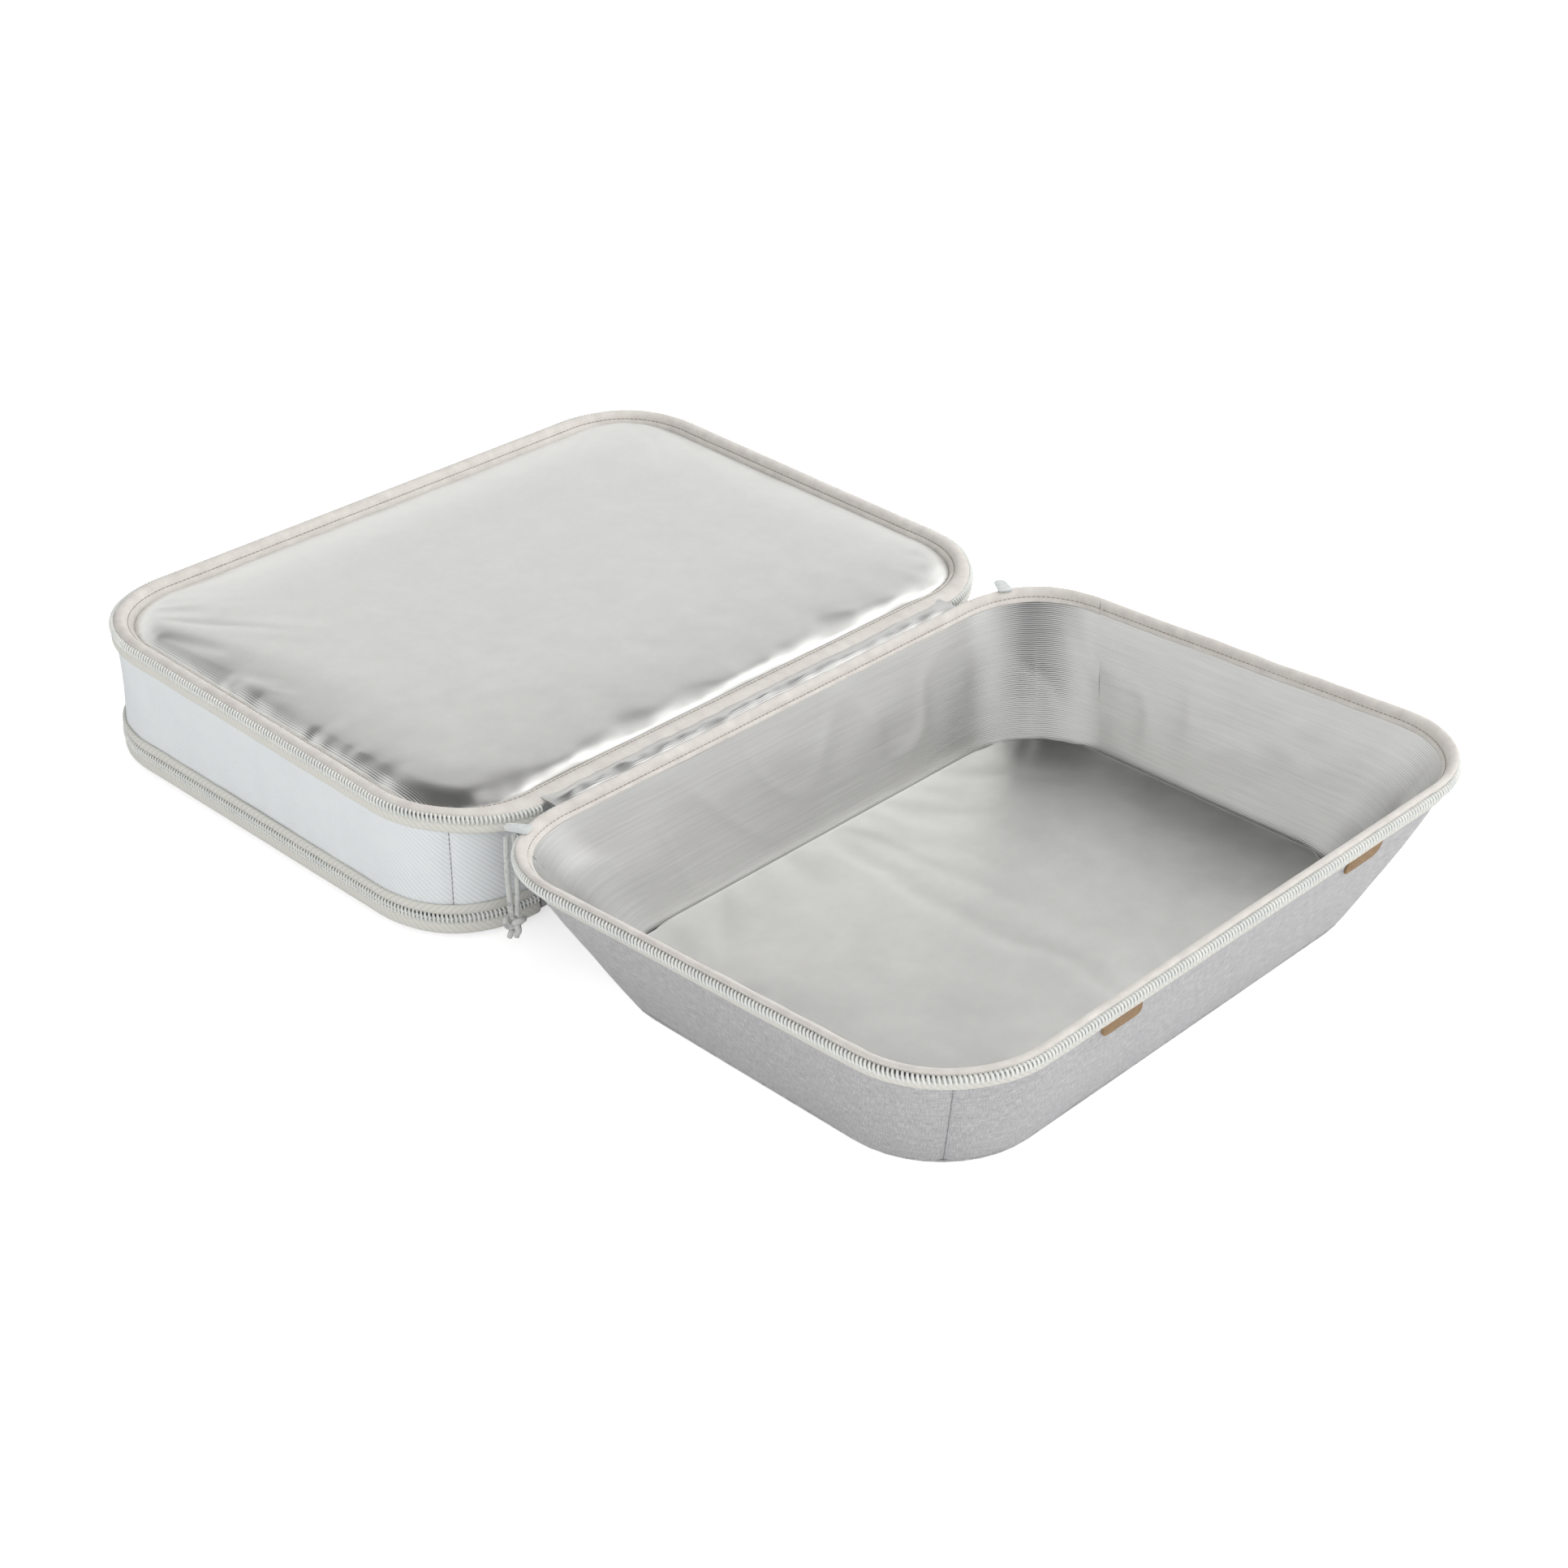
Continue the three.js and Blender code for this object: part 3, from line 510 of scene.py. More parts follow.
def crease(x, y, spread, height):
    """Sharp ridges, as where a film has been folded."""
    fold = 1 - abs(noise.noise(Vector((x / spread, y / spread, 2.1))))
    return fold ** 5 * height


def from_seams(along):
    """Distance along the rim to the nearest corner seam."""
    along %= ROUND
    return min(abs(along - seam) for seam in [SEAMS[3] - ROUND, *SEAMS])


def tub_lining(u, v):
    """Place on the strip of lining, creased and folded at the corners."""
    along = u * ROUND
    z = LINING_LOW + v * (LINING_HIGH - LINING_LOW)
    fold = 1.8 * math.exp(-((from_seams(along) / 3.5) ** 2)) * (1 - 0.5 * v)
    slack = crease(along, z, 46, 0.6) + bump(along, z, 24, 0.5) + 0.3
    return tub_point(along, LINING_FACE - (fold + slack) * math.sin(math.pi * v), z)


def hang_lining(name, columns, rows, strip, place, body, node):
    """Strip of foil round the inside of the walls, against their foam."""
    lining = lay_cloth(name, columns, rows, strip, place)
    weld(lining)
    thicken(lining, FOIL, 1)
    dress(lining, foil, body, "foil_lining", node)


hang_lining(
    "tub_lining", 420, 26, (ROUND * 0.93, (LINING_HIGH - LINING_LOW) * 1.13), tub_lining,
    "tub", "tub_wall_lining")


# Floor of the tub
# Sheet foam in a foil envelope, dropped in over the base board and sewn round its edge, so
# the foil swells a little in the middle and puckers along the seam.

FLOOR_SECTION = (348.5, 244.5, 54)
FLOOR_LOW = 3.6
FLOOR_HIGH = 9.0
FLOOR_SWELL = 3.5
FLOOR_VOXEL = 4.5
PAD_CLOTH = {
    "quality": 6, "mass": 0.15, "air_damping": 6, "tension_stiffness": 25,
    "compression_stiffness": 25, "shear_stiffness": 12, "bending_stiffness": 0.25,
    "use_pressure": True}

# The same foil on the padding, where the ribs follow the length of the carrier.
pad_foil, tree, shader, place = new_finish("padded_foil", 0.3, metallic=1.0)
sheen_mottle = mottle(
    tree, shader, place, 26, 4.0, (0.3, "#E8E8E5"), (0.7, "#F2F2EF"), roughness=0.6)
press_foil(tree, shader, sheen_mottle, (0.28, 0.42), place, "X", 0.6)


def swell(piece, voxel, pinned, slack, pressure, limit):
    """Blows up a pad as cloth, held where pinned(point) is true, by a limit in mm at most."""
    shape_with(piece, "REMESH", mode="VOXEL", voxel_size=voxel * MM)
    select_only(piece)
    held = piece.vertex_groups.new(name="sewn")
    before = [vertex.co.copy() for vertex in piece.data.vertices]
    held.add([n for n, co in enumerate(before) if pinned(co / MM)], 1.0, "REPLACE")
    sewn = piece.modifiers.new("Cloth", "CLOTH")
    for name, value in PAD_CLOTH.items():
        setattr(sewn.settings, name, value)
    sewn.settings.shrink_min = -slack
    sewn.settings.uniform_pressure_force = pressure
    sewn.settings.vertex_group_mass = held.name
    sewn.settings.effector_weights.gravity = 0
    sewn.collision_settings.use_collision = False
    for number in range(1, 25):
        scene.frame_set(number)
    bpy.ops.object.modifier_apply(modifier=sewn.name)
    most = max((vertex.co - old).length for vertex, old in zip(piece.data.vertices, before))
    for vertex, old in zip(piece.data.vertices, before):
        vertex.co = old.lerp(vertex.co, min(1, limit * MM / most))
    scene.frame_set(1)
    piece.vertex_groups.clear()


def soften(piece, angle):
    """Rounds off a piece and shades it smooth."""
    shape_with(piece, "SUBSURF", levels=1, render_levels=1)
    smooth(piece, angle)


floor_pad = round_plate("floor_pad", FLOOR_SECTION, FLOOR_LOW, FLOOR_HIGH)
round_edges(floor_pad, 1.2, 3)
swell(
    floor_pad, FLOOR_VOXEL,
    lambda p: p.z < FLOOR_LOW + 2 or abs(p.x) > FLOOR_SECTION[0] / 2 - 4
    or abs(p.y) > FLOOR_SECTION[1] / 2 - 4,
    0.008, 2.2, FLOOR_SWELL)
soften(floor_pad, 60)
dress(floor_pad, pad_foil, "tub", "foil_lining", "tub_floor_lining", "tub_base_foam")


# Rim binding of the tub
# A folded strip of plain polyester, rolled over the raw top edge of wall and lining, and
# stitched down just under the roll. Its tail hangs inside as a flat band.

ROLL = [
    (-1.3, -4.2), (-1.0, -2.3), (-1.8, -0.7), (-3.4, -0.1), (-5.0, -0.6), (-5.9, -1.8),
    (-6.0, -2.9)]
TUB_BAND = [
    (-5.9, -3.9), (-5.6, -4.7), (-6.1, -5.5), (-6.3, -6.5), (-6.1, -7.4), (-5.4, -7.5),
    (-4.9, -6.4), (-4.6, -5.2), (-3.6, -4.3)]
BINDING_STITCH = {"length": 2.1, "pitch": 2.9, "thick": 0.6}
BINDING_THREADS = 0.6

# Binding: plain-woven polyester, matt and off-white with a warm cast, mottled a little
# lighter and darker in soft blotches.
binding, tree, shader, cloth = new_finish("polyester_binding", 0.85, "UV")
shader.inputs["Sheen Weight"].default_value = 0.15
mottle(
    tree, shader, cloth, 9, 4.0, (0.3, "#D0CAC5"), (0.55, "#DBD6D0"), (0.75, "#E4DFDA"),
    roughness=0.65)
weave = plain_weave(tree, cloth, BINDING_THREADS, {"Distortion": 0.4})
add_node(tree, "Bump", {
    "Strength": 0.3, "Distance": 0.1 * MM, "Height": weave}, shader.inputs["Normal"])

# Binding thread, well darker than the cloth that it pulls in: partly painted shade, for the
# shadow in its stitch holes.
light_thread, tree, shader, place = new_finish("binding_thread", 0.65)
mottle(tree, shader, place, THREAD_TWIST, 1.0, (0.35, "#8F877E"), (0.65, "#ABA299"))


def trim(name, columns, start, run, profile_at, point, seam):
    """Sewn trim along the rim, with its closed profile at each place."""
    rows = len(profile_at(start))

    def place(u, v):
        along = start + u * run
        out, z = profile_at(along)[round(v * rows) % rows]
        wave = bump(along, z * 3, 11, 0.22) + bump(along, z, 70, 0.35)
        return point(along, out + wave, seam + min(z, z + wave))

    length = sum(math.dist(a, b) for a, b in zip(profile_at(start), profile_at(start)[1:]))
    piece = lay_cloth(name, columns, rows, (run, length), place)
    weld(piece)
    return piece


def tub_binding_profile(along):
    """The binding's section, the same all round."""
    return ROLL + TUB_BAND


def bind_rim(body, profile_at, point, height):
    """Binding all round a rim."""
    piece = trim(f"{body}_binding", 380, 0, ROUND, profile_at, point, height)
    soften(piece, 75)
    dress(piece, binding, body, "binding", f"{body}_rim_binding")


bind_rim("tub", tub_binding_profile, tub_point, TUB_HEIGHT)
STEPS = 700
ditch = [tub_point(ROUND * n / STEPS, -5.85, TUB_HEIGHT - 4.7) for n in range(STEPS + 1)]
stitch_line("tub_binding_stitches", ditch, light_thread, "tub", **BINDING_STITCH)


# Zipper of the tub's rim
# Half of a coil zipper: a woven tape sewn round the outside of the rim, and on its edge a
# nylon filament wound into a coil. It runs round everything but the hinge.

TAPE = [
    (0.8, -8.2), (1.8, -7.7), (2.0, -5.4), (1.8, -3.3), (0.8, -1.9), (0.0, -0.6),
    (-0.9, -0.8), (-0.9, -7.2)]
COIL_PITCH = 2.3
COIL_FILAMENT = 1.4
COIL_OUT = 1.2
COIL_SEAT = 0.7
OPEN_COIL = (4.8, 1.9)
SHUT_COIL = (1.0, 1.35)
ZIP_RUN = ROUND - SIDE_RUNS[0]
TUB_ZIP_START = CORNER_RUN + SIDE_RUNS[0]
TAPE_RIB = 1.3

# Zipper tape: ribbed twill of white polyester with slanting ribs, drawn at their own pitch.
tape_cloth, tree, shader, cloth = new_finish("zipper_tape", 0.85, "UV")
ribs = add_node(tree, "TexWave", {
    "Vector": cloth, "Scale": bands(TAPE_RIB) / math.sqrt(2), "Distortion": 0.5},
    bands_direction="DIAGONAL")
# Painted shade: the ramp darkens the tape's colour in the grooves between its ribs.
tint = add_node(tree, "ValToRGB", {"Fac": ribs.outputs["Fac"]}, shader.inputs["Base Color"])
set_ramp(tint, (0.0, "#D5D4CD"), (0.6, "#E0DFD8"))
add_node(tree, "Bump", {
    "Strength": 0.4, "Distance": 0.12 * MM, "Height": ribs.outputs["Fac"]},
    shader.inputs["Normal"])

# Nylon filament: drawn and smooth, with a faint green in its colour all over, painted for light
# passing through it.
nylon, tree, shader, place = new_finish("nylon_coil", 0.35)
shader.inputs["IOR"].default_value = 1.53
mottle(tree, shader, place, 14, 2.0, (0.3, "#E5E7E4"), (0.7, "#EFF0EC"))


def wound_coil(name, points, tall):
    """Filament wound into a flat coil, that far out from a line, and bent along it."""
    coil = start_piece(
        name, bpy.ops.mesh.primitive_circle_add, vertices=5, radius=COIL_FILAMENT / 2 * MM,
        location=(0, 0, COIL_OUT * MM), rotation=(math.pi / 2, 0, 0))
    shape_with(
        coil, "SCREW", axis="X", steps=9, render_steps=9, screw_offset=COIL_PITCH * MM,
        iterations=int(path_length(points) / COIL_PITCH), use_smooth_shade=True)
    edit_all(coil)
    bpy.ops.transform.resize(value=(1, 1, tall / COIL_OUT))
    bpy.ops.mesh.normals_make_consistent(inside=False)
    bpy.ops.object.mode_set(mode="OBJECT")
    bend_along(coil, points)
    return coil


def zipper(name, body, start, point, seam, side, coil_place, part):
    """Half a zipper, hanging below its seam (side 1) or standing above it (side -1)."""
    middle, tall = coil_place

    def tape_profile(along):
        return [(out, side * (z - middle)) for out, z in TAPE]

    tape = trim(f"{name}_tape_woven", 300, start, ZIP_RUN, tape_profile, point, seam)
    edit_all(tape)
    bpy.ops.mesh.fill_holes(sides=0)
    bpy.ops.object.mode_set(mode="OBJECT")
    soften(tape, 75)
    dress(tape, tape_cloth, body, "zipper_tape", f"{part}_tape")
    line = [
        point(start + ZIP_RUN * n / STEPS, COIL_SEAT, seam - side * middle)
        for n in range(STEPS + 1)]
    coil = wound_coil(f"{name}_coil_wound", line, tall)
    dress(coil, nylon, body, "zipper_coil", f"{part}_coil")


zipper("tub", "tub", TUB_ZIP_START, tub_point, TUB_HEIGHT, 1, OPEN_COIL, "tub_zip")


# Grip tabs
# Two short straps of tan leather with round lower corners, caught under the zipper tape on
# the tub's front, to hold on to while the zipper is pulled.

TAB_WIDTH = 30
TAB_DROP = 9.0
TAB_TUCK = 5.5
TAB_THICK = 1.2
TAB_RADIUS = 4.5
TAB_PLACES = {"left": -100, "right": 100}

# Vegetable-tanned leather: finely pebbled, with a soft sheen and darker mottling.
leather, tree, shader, place = new_finish("tan_leather", 0.62)
mottle(
    tree, shader, place, 2.5, 5.0, (0.3, "#7F6340"), (0.55, "#94754E"), (0.75, "#A3845D"),
    roughness=0.7)
pebble = add_node(tree, "TexVoronoi", {"Vector": place, "Scale": 1 / 0.7 / MM})
add_node(tree, "Bump", {
    "Strength": 0.35, "Distance": 0.1 * MM, "Height": pebble.outputs["Distance"]},
    shader.inputs["Normal"])

FRONT_MIDDLE = (SEAMS[2] + SEAMS[3]) / 2
TAPE_FOOT = TUB_HEIGHT - 12.5


def ease(share):
    """Smooth step from 0 to 1."""
    share = min(max(share, 0), 1)
    return share * share * (3 - 2 * share)


for side, across in TAB_PLACES.items():
    tab = round_plate(
        f"grip_tab_{side}", (TAB_WIDTH, TAB_DROP + TAB_TUCK, TAB_RADIUS), 0, TAB_THICK)
    round_edges(tab, 0.35)
    for vertex in tab.data.vertices:
        x, y, thick = vertex.co / MM
        below = TAB_TUCK - (TAB_DROP + TAB_TUCK) / 2 + y
        lift = 1.1 * ease(-below / 5) + 0.8 * ease(-below / TAB_DROP)
        vertex.co = Vector(tub_point(
            FRONT_MIDDLE + across + x, thick - 0.7 + lift, TAPE_FOOT + below)) * MM
    smooth(tab, 35)
    dress(tab, leather, "tub", "tan_leather", f"tab_{side}")


# Walls of the upper compartment
# Four panels of pale twill laminated to foam. They stand straight up from the lid's zipper
# to the rim, drawn in a little at the waist, with a seam in the middle of each corner.

COVER_Y = 344
COVER_HEIGHT = 80.834
COVER_RISE = 4
COVER_PULLS = (2, 2.5, 3.2, 3.2)
LID_SEAM = 11.45
GUSSET_LOW = LID_SEAM + 7
GUSSET_HIGH = COVER_HEIGHT - 7
TWILL_RIB = 1.15

# Twill: pale blue-grey polyester, woven with slanting ribs and a dry, matt face.
twill, tree, shader, cloth = new_finish("pale_twill", 0.88, "UV")
shader.inputs["Sheen Weight"].default_value = 0.1
ribs = add_node(tree, "TexWave", {
    "Vector": cloth, "Scale": bands(TWILL_RIB) / math.sqrt(2), "Distortion": 0.7,
    "Detail": 2.0, "Detail Scale": 1.5}, bands_direction="DIAGONAL")
hand = add_node(tree, "TexNoise", {
    "Vector": cloth, "Scale": 1 / 40 / MM, "Detail": 5.0, "Roughness": 0.7})
# Partly painted shade: the ribs darken the twill's colour in their grooves; the slow noise
# mixed in is random tone.
mixed = add_node(tree, "Math", {
    0: ribs.outputs["Fac"], 1: 0.7, 2: hand.outputs["Fac"]}, operation="MULTIPLY_ADD")
tint = add_node(tree, "ValToRGB", {"Fac": mixed.outputs[0]}, shader.inputs["Base Color"])
set_ramp(tint, (0.35, "#DBDFE1"), (0.75, "#E6EAEC"), (1.0, "#ECEFF0"))
add_node(tree, "Bump", {
    "Strength": 0.35, "Distance": 0.12 * MM, "Height": ribs.outputs["Fac"]},
    shader.inputs["Normal"])


def cover_point(along, out, z):
    """Point on the upper compartment's wall; its rim rises away from the hinge."""
    x, y = outline(RIM, along, out + corner_pull(along, COVER_PULLS))
    rise = (z - LID_SEAM) / (COVER_HEIGHT - LID_SEAM)
    return x, y + COVER_Y, z + COVER_RISE * rise * y / HALF_WIDTH


def twill_relief(from_seam, along, z):
    """How far the twill stands out: drawn-in waist, seam, pulls and hand."""
    share = (z - GUSSET_LOW) / (GUSSET_HIGH - GUSSET_LOW)
    waist = -1.5 * math.sin(math.pi * min(max(share, 0), 1))
    seam = -1.0 * math.exp(-((from_seam / 2.4) ** 2))
    edge = math.exp(-(((share - 0.93) / 0.07) ** 2)) + math.exp(-(((share - 0.07) / 0.07) ** 2))
    pulled = 0.3 * edge * math.sin(along / 4.6 + 2 * noise.noise(Vector((along / 30, 0, 0))))
    return waist + seam + pulled * 0.6 + bump(along, z, 75, 0.9)


GUSSET_TALL = GUSSET_HIGH - GUSSET_LOW
stand_walls(
    "twill_wall", ("front", "left", "back", "right"), 24, GUSSET_TALL, GUSSET_LOW, GUSSET_HIGH,
    cover_point, twill_relief, twill, "cover", "gusset_twill", "gusset")
sew_corners("cover", GUSSET_LOW, GUSSET_TALL, cover_point, twill_relief)


# Lining of the upper compartment
# A strip of the foil round the inside of the twill walls, from the lid's zipper up to the
# rim binding.

COVER_LINING_LOW = LID_SEAM + 0.8
COVER_LINING_HIGH = COVER_HEIGHT - 6


def cover_lining(u, v):
    """Place on the strip of lining, creased and folded at the corners."""
    along = u * ROUND
    z = COVER_LINING_LOW + v * (COVER_LINING_HIGH - COVER_LINING_LOW)
    fold = 1.2 * math.exp(-((from_seams(along) / 3.5) ** 2))
    slack = crease(along, z, 46, 1.0) + bump(along, z, 24, 0.5) + 0.4
    drawn = -1.5 * math.sin(math.pi * v)
    return cover_point(along, LINING_FACE + drawn - fold - slack * math.sin(math.pi * v), z)


hang_lining(
    "cover_lining", 360, 20, (ROUND * 0.97, COVER_LINING_HIGH - COVER_LINING_LOW), cover_lining,
    "cover", "gusset_lining")


# Rim binding of the upper compartment
# The same folded polyester. Its roll stands up along the free sides, and lies over flat
# along the hinge, where the strip is pulled towards the tub.

COVER_STAND = [
    (-1.3, -4.6), (-1.0, -2.6), (-1.9, -0.8), (-4.2, -0.2), (-6.4, -0.9), (-7.7, -2.6),
    (-8.2, -4.0), (-8.6, -4.6), (-9.6, -5.0), (-10.8, -6.0), (-11.8, -7.4), (-12.2, -8.6),
    (-11.6, -9.2), (-10.4, -8.2), (-8.8, -6.6), (-5.4, -5.4)]
COVER_FLAT = [
    (7.4, -6.0), (8.2, -5.2), (7.2, -4.2), (4.4, -3.4), (1.4, -3.1), (-1.4, -3.3),
    (-3.2, -3.8), (-3.9, -4.3), (-4.6, -4.0), (-5.6, -4.1), (-6.6, -4.8), (-7.0, -5.8),
    (-6.4, -6.4), (-4.0, -6.0), (0.0, -6.0), (5.0, -6.6)]
HINGE_START = SEAMS[2] + CORNER_RUN / 2
HINGE_END = HINGE_START + SIDE_RUNS[0]


def laid_over(along):
    """How flat the binding lies: 1 along the hinge, little elsewhere."""
    along %= ROUND
    reach = CORNER_RUN * 0.6
    near = min((along - HINGE_START + reach) / reach, (HINGE_END - along + reach) / reach)
    return 0.12 + 0.88 * ease(near)


def cover_binding_profile(along):
    """The binding's section at a place, between standing and lying flat."""
    flat = laid_over(along)
    return [
        (a + (c - a) * flat, b + (d - b) * flat)
        for (a, b), (c, d) in zip(COVER_STAND, COVER_FLAT)]


bind_rim("cover", cover_binding_profile, cover_point, COVER_HEIGHT)
ditch = []
for n in range(STEPS + 1):
    out, z = cover_binding_profile(ROUND * n / STEPS)[7]
    ditch.append(cover_point(ROUND * n / STEPS, out, COVER_HEIGHT + z + 0.25))
stitch_line("cover_binding_stitches", ditch, light_thread, "cover", **BINDING_STITCH)


# Divider
# Foam in a foil envelope, sewn all round to the foot of the rim binding. It closes off the
# upper compartment, and swells up between its seams, so the foil puckers along the edge.

DIVIDER_BACK = 60.8
DIVIDER_TOP = COVER_HEIGHT + 0.6
DIVIDER_TILT = -0.5
DIVIDER_VOXEL = 2.6
EDGE_ROWS = (0, 1, 2.5, 4.5, 7, 10, 14, 20, 30, 42)
EDGE_STEEP = 14
CROWN_SHARE = 0.28
BAND_FOOT = 10
CRINKLES = (562, 590, 642, 668, 695)


def pucker(along, inside, flat):
    """Gathers along the sewn edge, deepest at the hinge and gone towards the middle."""
    wide = 1 - abs(noise.noise(Vector((along / 34, 0.0, 5.2))))
    fine = noise.noise(Vector((along / 8, inside / 9, 8.4)))
    spots = sum(math.exp(-(((along - spot) / 9) ** 2)) for spot in CRINKLES)
    deep = 1.8 * flat * (wide ** 3 - 0.5) + (0.06 + 0.8 * flat + 2.4 * spots) * fine
    return deep * math.exp(-inside / 8) * ease(inside / 2.5)


def divider_top(along, inside):
    """Place on the divider's face, that far inside its sewn edge."""
    out, z = cover_binding_profile(along)[BAND_FOOT]
    flat = laid_over(along)
    steep = EDGE_STEEP + flat * max(20 * noise.noise(Vector((along / 30, 0.0, 3.3))), -7)
    y = outline(RIM, along, out + 1.0 - inside)[1]
    edge = COVER_HEIGHT + z - 0.6
    middle = DIVIDER_TOP + DIVIDER_TILT * y / HALF_WIDTH
    shoulder = math.sin(math.pi / 2 * min(inside / steep, 1))
    crown = math.sin(math.pi / 2 * inside / EDGE_ROWS[-1])
    lift = (1 - CROWN_SHARE) * shoulder + CROWN_SHARE * crown
    height = edge + (middle - edge) * lift + pucker(along, inside, flat)
    return cover_point(along, out + 1.0 - inside, height)


def divider_skin(u, v):
    """Place on the divider's envelope, from its back to the edge and over its face."""
    along = u * ROUND
    rows = len(EDGE_ROWS) + 1
    row = round(v * rows)
    if row == 0:
        return cover_point(along, -50, DIVIDER_BACK)
    if row == 1:
        return cover_point(along, -11, DIVIDER_BACK + 1.5)
    return divider_top(along, EDGE_ROWS[min(row - 2, len(EDGE_ROWS) - 1)])


divider = lay_cloth("divider", 300, len(EDGE_ROWS) + 1, (1, 1), divider_skin)
weld(divider)
edit_all(divider)
bpy.ops.mesh.fill_holes(sides=0)
bpy.ops.mesh.select_all(action="SELECT")
bpy.ops.mesh.normals_make_consistent(inside=False)
bpy.ops.object.mode_set(mode="OBJECT")


def divider_sewn(point):
    """True along the sewn edge and over the back."""
    x, y = abs(point.x), abs(point.y - COVER_Y)
    past_x, past_y = x - SIDE_RUNS[0] / 2, y - SIDE_RUNS[1] / 2
    rounded = past_x > 0 and past_y > 0
    out = (math.hypot(past_x, past_y) if rounded else max(past_x, past_y)) - RIM[2]
    return out > -14.5 or point.z < DIVIDER_BACK + 4.5


swell(divider, DIVIDER_VOXEL, divider_sewn, 0.0, 1.0, 1.5)
soften(divider, 75)
dress(divider, pad_foil, "cover", "foil_lining", "divider_face", "divider_foam", "divider_back")


# Zippers of the upper compartment
# One half meets the tub's zipper round the rim, and another, round the foot, meets the
# lid's. Each runs from one end of its hinge to the other.

def cover_zip_point(along, out, z):
    """Point on the upper zipper, pushed out and down where the binding lies over."""
    laid = laid_over(along) - 0.12
    return cover_point(along, out + 9 * laid, z - 2.5 * laid)


zipper(
    "cover", "cover", HINGE_END, cover_zip_point, COVER_HEIGHT, 1, OPEN_COIL, "cover_zip")
zipper(
    "gusset", "cover", HINGE_END, cover_point, LID_SEAM, -1, SHUT_COIL, "gusset_lid_zip")


# Main hinge
# A doubled strip of the foil-faced scrim, sewn into the back of the tub's rim and into the
# upper compartment's rim, and creased where the carrier folds shut.

HINGE_HALF = SIDE_RUNS[0] / 2 - 1
HINGE_Y = COVER_Y / 2
HINGE_NEAR = HALF_WIDTH - 4
HINGE_FAR = COVER_Y - HALF_WIDTH - 2
HINGE_THICK = 0.9
HINGE_DROP = 6.0
HINGE_FOLD = 4.0
HINGE_END_LIFT = 3.0


def hinge_place(u, v):
    """Place on the strip, standing in a low fold between the two rims."""
    x = -HINGE_HALF + 2 * HINGE_HALF * u
    y = HINGE_NEAR + (HINGE_FAR - HINGE_NEAR) * v
    rim = TUB_HEIGHT - TUB_SAG * HINGE_Y / HALF_WIDTH
    loose = math.sin(math.pi * v)
    crinkled = crease(x, y * 2, 24, 0.7) + bump(x, y, 8, 0.7)
    ends = ease((HINGE_HALF - abs(x)) / 16)
    z = rim - HINGE_DROP + (HINGE_FOLD + crinkled) * loose * ends
    return x, y, z + HINGE_END_LIFT * (1 - ends)


strip = (2 * HINGE_HALF, HINGE_FAR - HINGE_NEAR)
hinge = lay_cloth("main_hinge", 140, 18, strip, hinge_place)
thicken(hinge, HINGE_THICK, -1)
dress(hinge, foil, slot="foil_lining")
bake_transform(hinge)
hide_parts("tub_hinge_strip", "cover_hinge_strip")


# Main sliders
# Cast zinc, painted pale grey: two plates joined by a neck and tapered to the tail, with an
# arched crown on one. Each waits at one end of the hinge, its smooth back plate uppermost.

SLIDER_HALF = 7.0
SLIDER_WIDE = 9.0
SLIDER_TAIL = 6.4
SLIDER_PLATE = 1.1
SLIDER_GAP = 2.2
SLIDER_OUT = 2.2
CROWN_HALF = 2.7
CROWN_WIDE = 2.6
CROWN_BAR = 1.0
CROWN_BACK = 4.5
SLIDER_PLACES = {
    "left": CORNER_RUN + SIDE_RUNS[0] + CORNER_RUN / 3, "right": CORNER_RUN * 2 / 3}

# Painted zinc: a smooth pale enamel, worn a little along its edges.
zinc, tree, shader, place = new_finish("painted_zinc", 0.38)
wear = mottle(tree, shader, place, 3, 4.0, (0.3, "#C6CBCB"), (0.6, "#D6DAD9"))
add_node(tree, "MapRange", {
    "Value": wear, "To Min": 0.3, "To Max": 0.5}, shader.inputs["Roughness"])


def slider_plate(middle, start, end):
    """One plate of a slider, from start to end of its length, with eased edges."""
    bpy.ops.object.select_all(action="DESELECT")
    bpy.ops.mesh.primitive_cube_add(size=MM, location=((start + end) / 2 * MM, 0, middle * MM))
    plate = bpy.context.object
    plate.scale = (end - start, 1, SLIDER_PLATE)
    bpy.ops.object.transform_apply(location=True, rotation=True, scale=True)
    for vertex in plate.data.vertices:
        share = (vertex.co.x / MM + SLIDER_HALF) / (2 * SLIDER_HALF)
        vertex.co.y *= SLIDER_WIDE + (SLIDER_TAIL - SLIDER_WIDE) * share
    bpy.ops.object.mode_set(mode="EDIT")
    bpy.ops.mesh.select_all(action="DESELECT")
    bpy.ops.object.mode_set(mode="OBJECT")
    for edge in plate.data.edges:
        a, b = (plate.data.vertices[n].co for n in edge.vertices)
        edge.select = abs(a.z - b.z) > SLIDER_PLATE / 2 * MM
    bpy.ops.object.mode_set(mode="EDIT")
    bpy.ops.mesh.select_mode(type="EDGE")
    bpy.ops.mesh.bevel(offset=2.2 * MM, segments=4, affect="EDGES")
    bpy.ops.object.mode_set(mode="OBJECT")
    round_edges(plate, 0.35)
    return plate


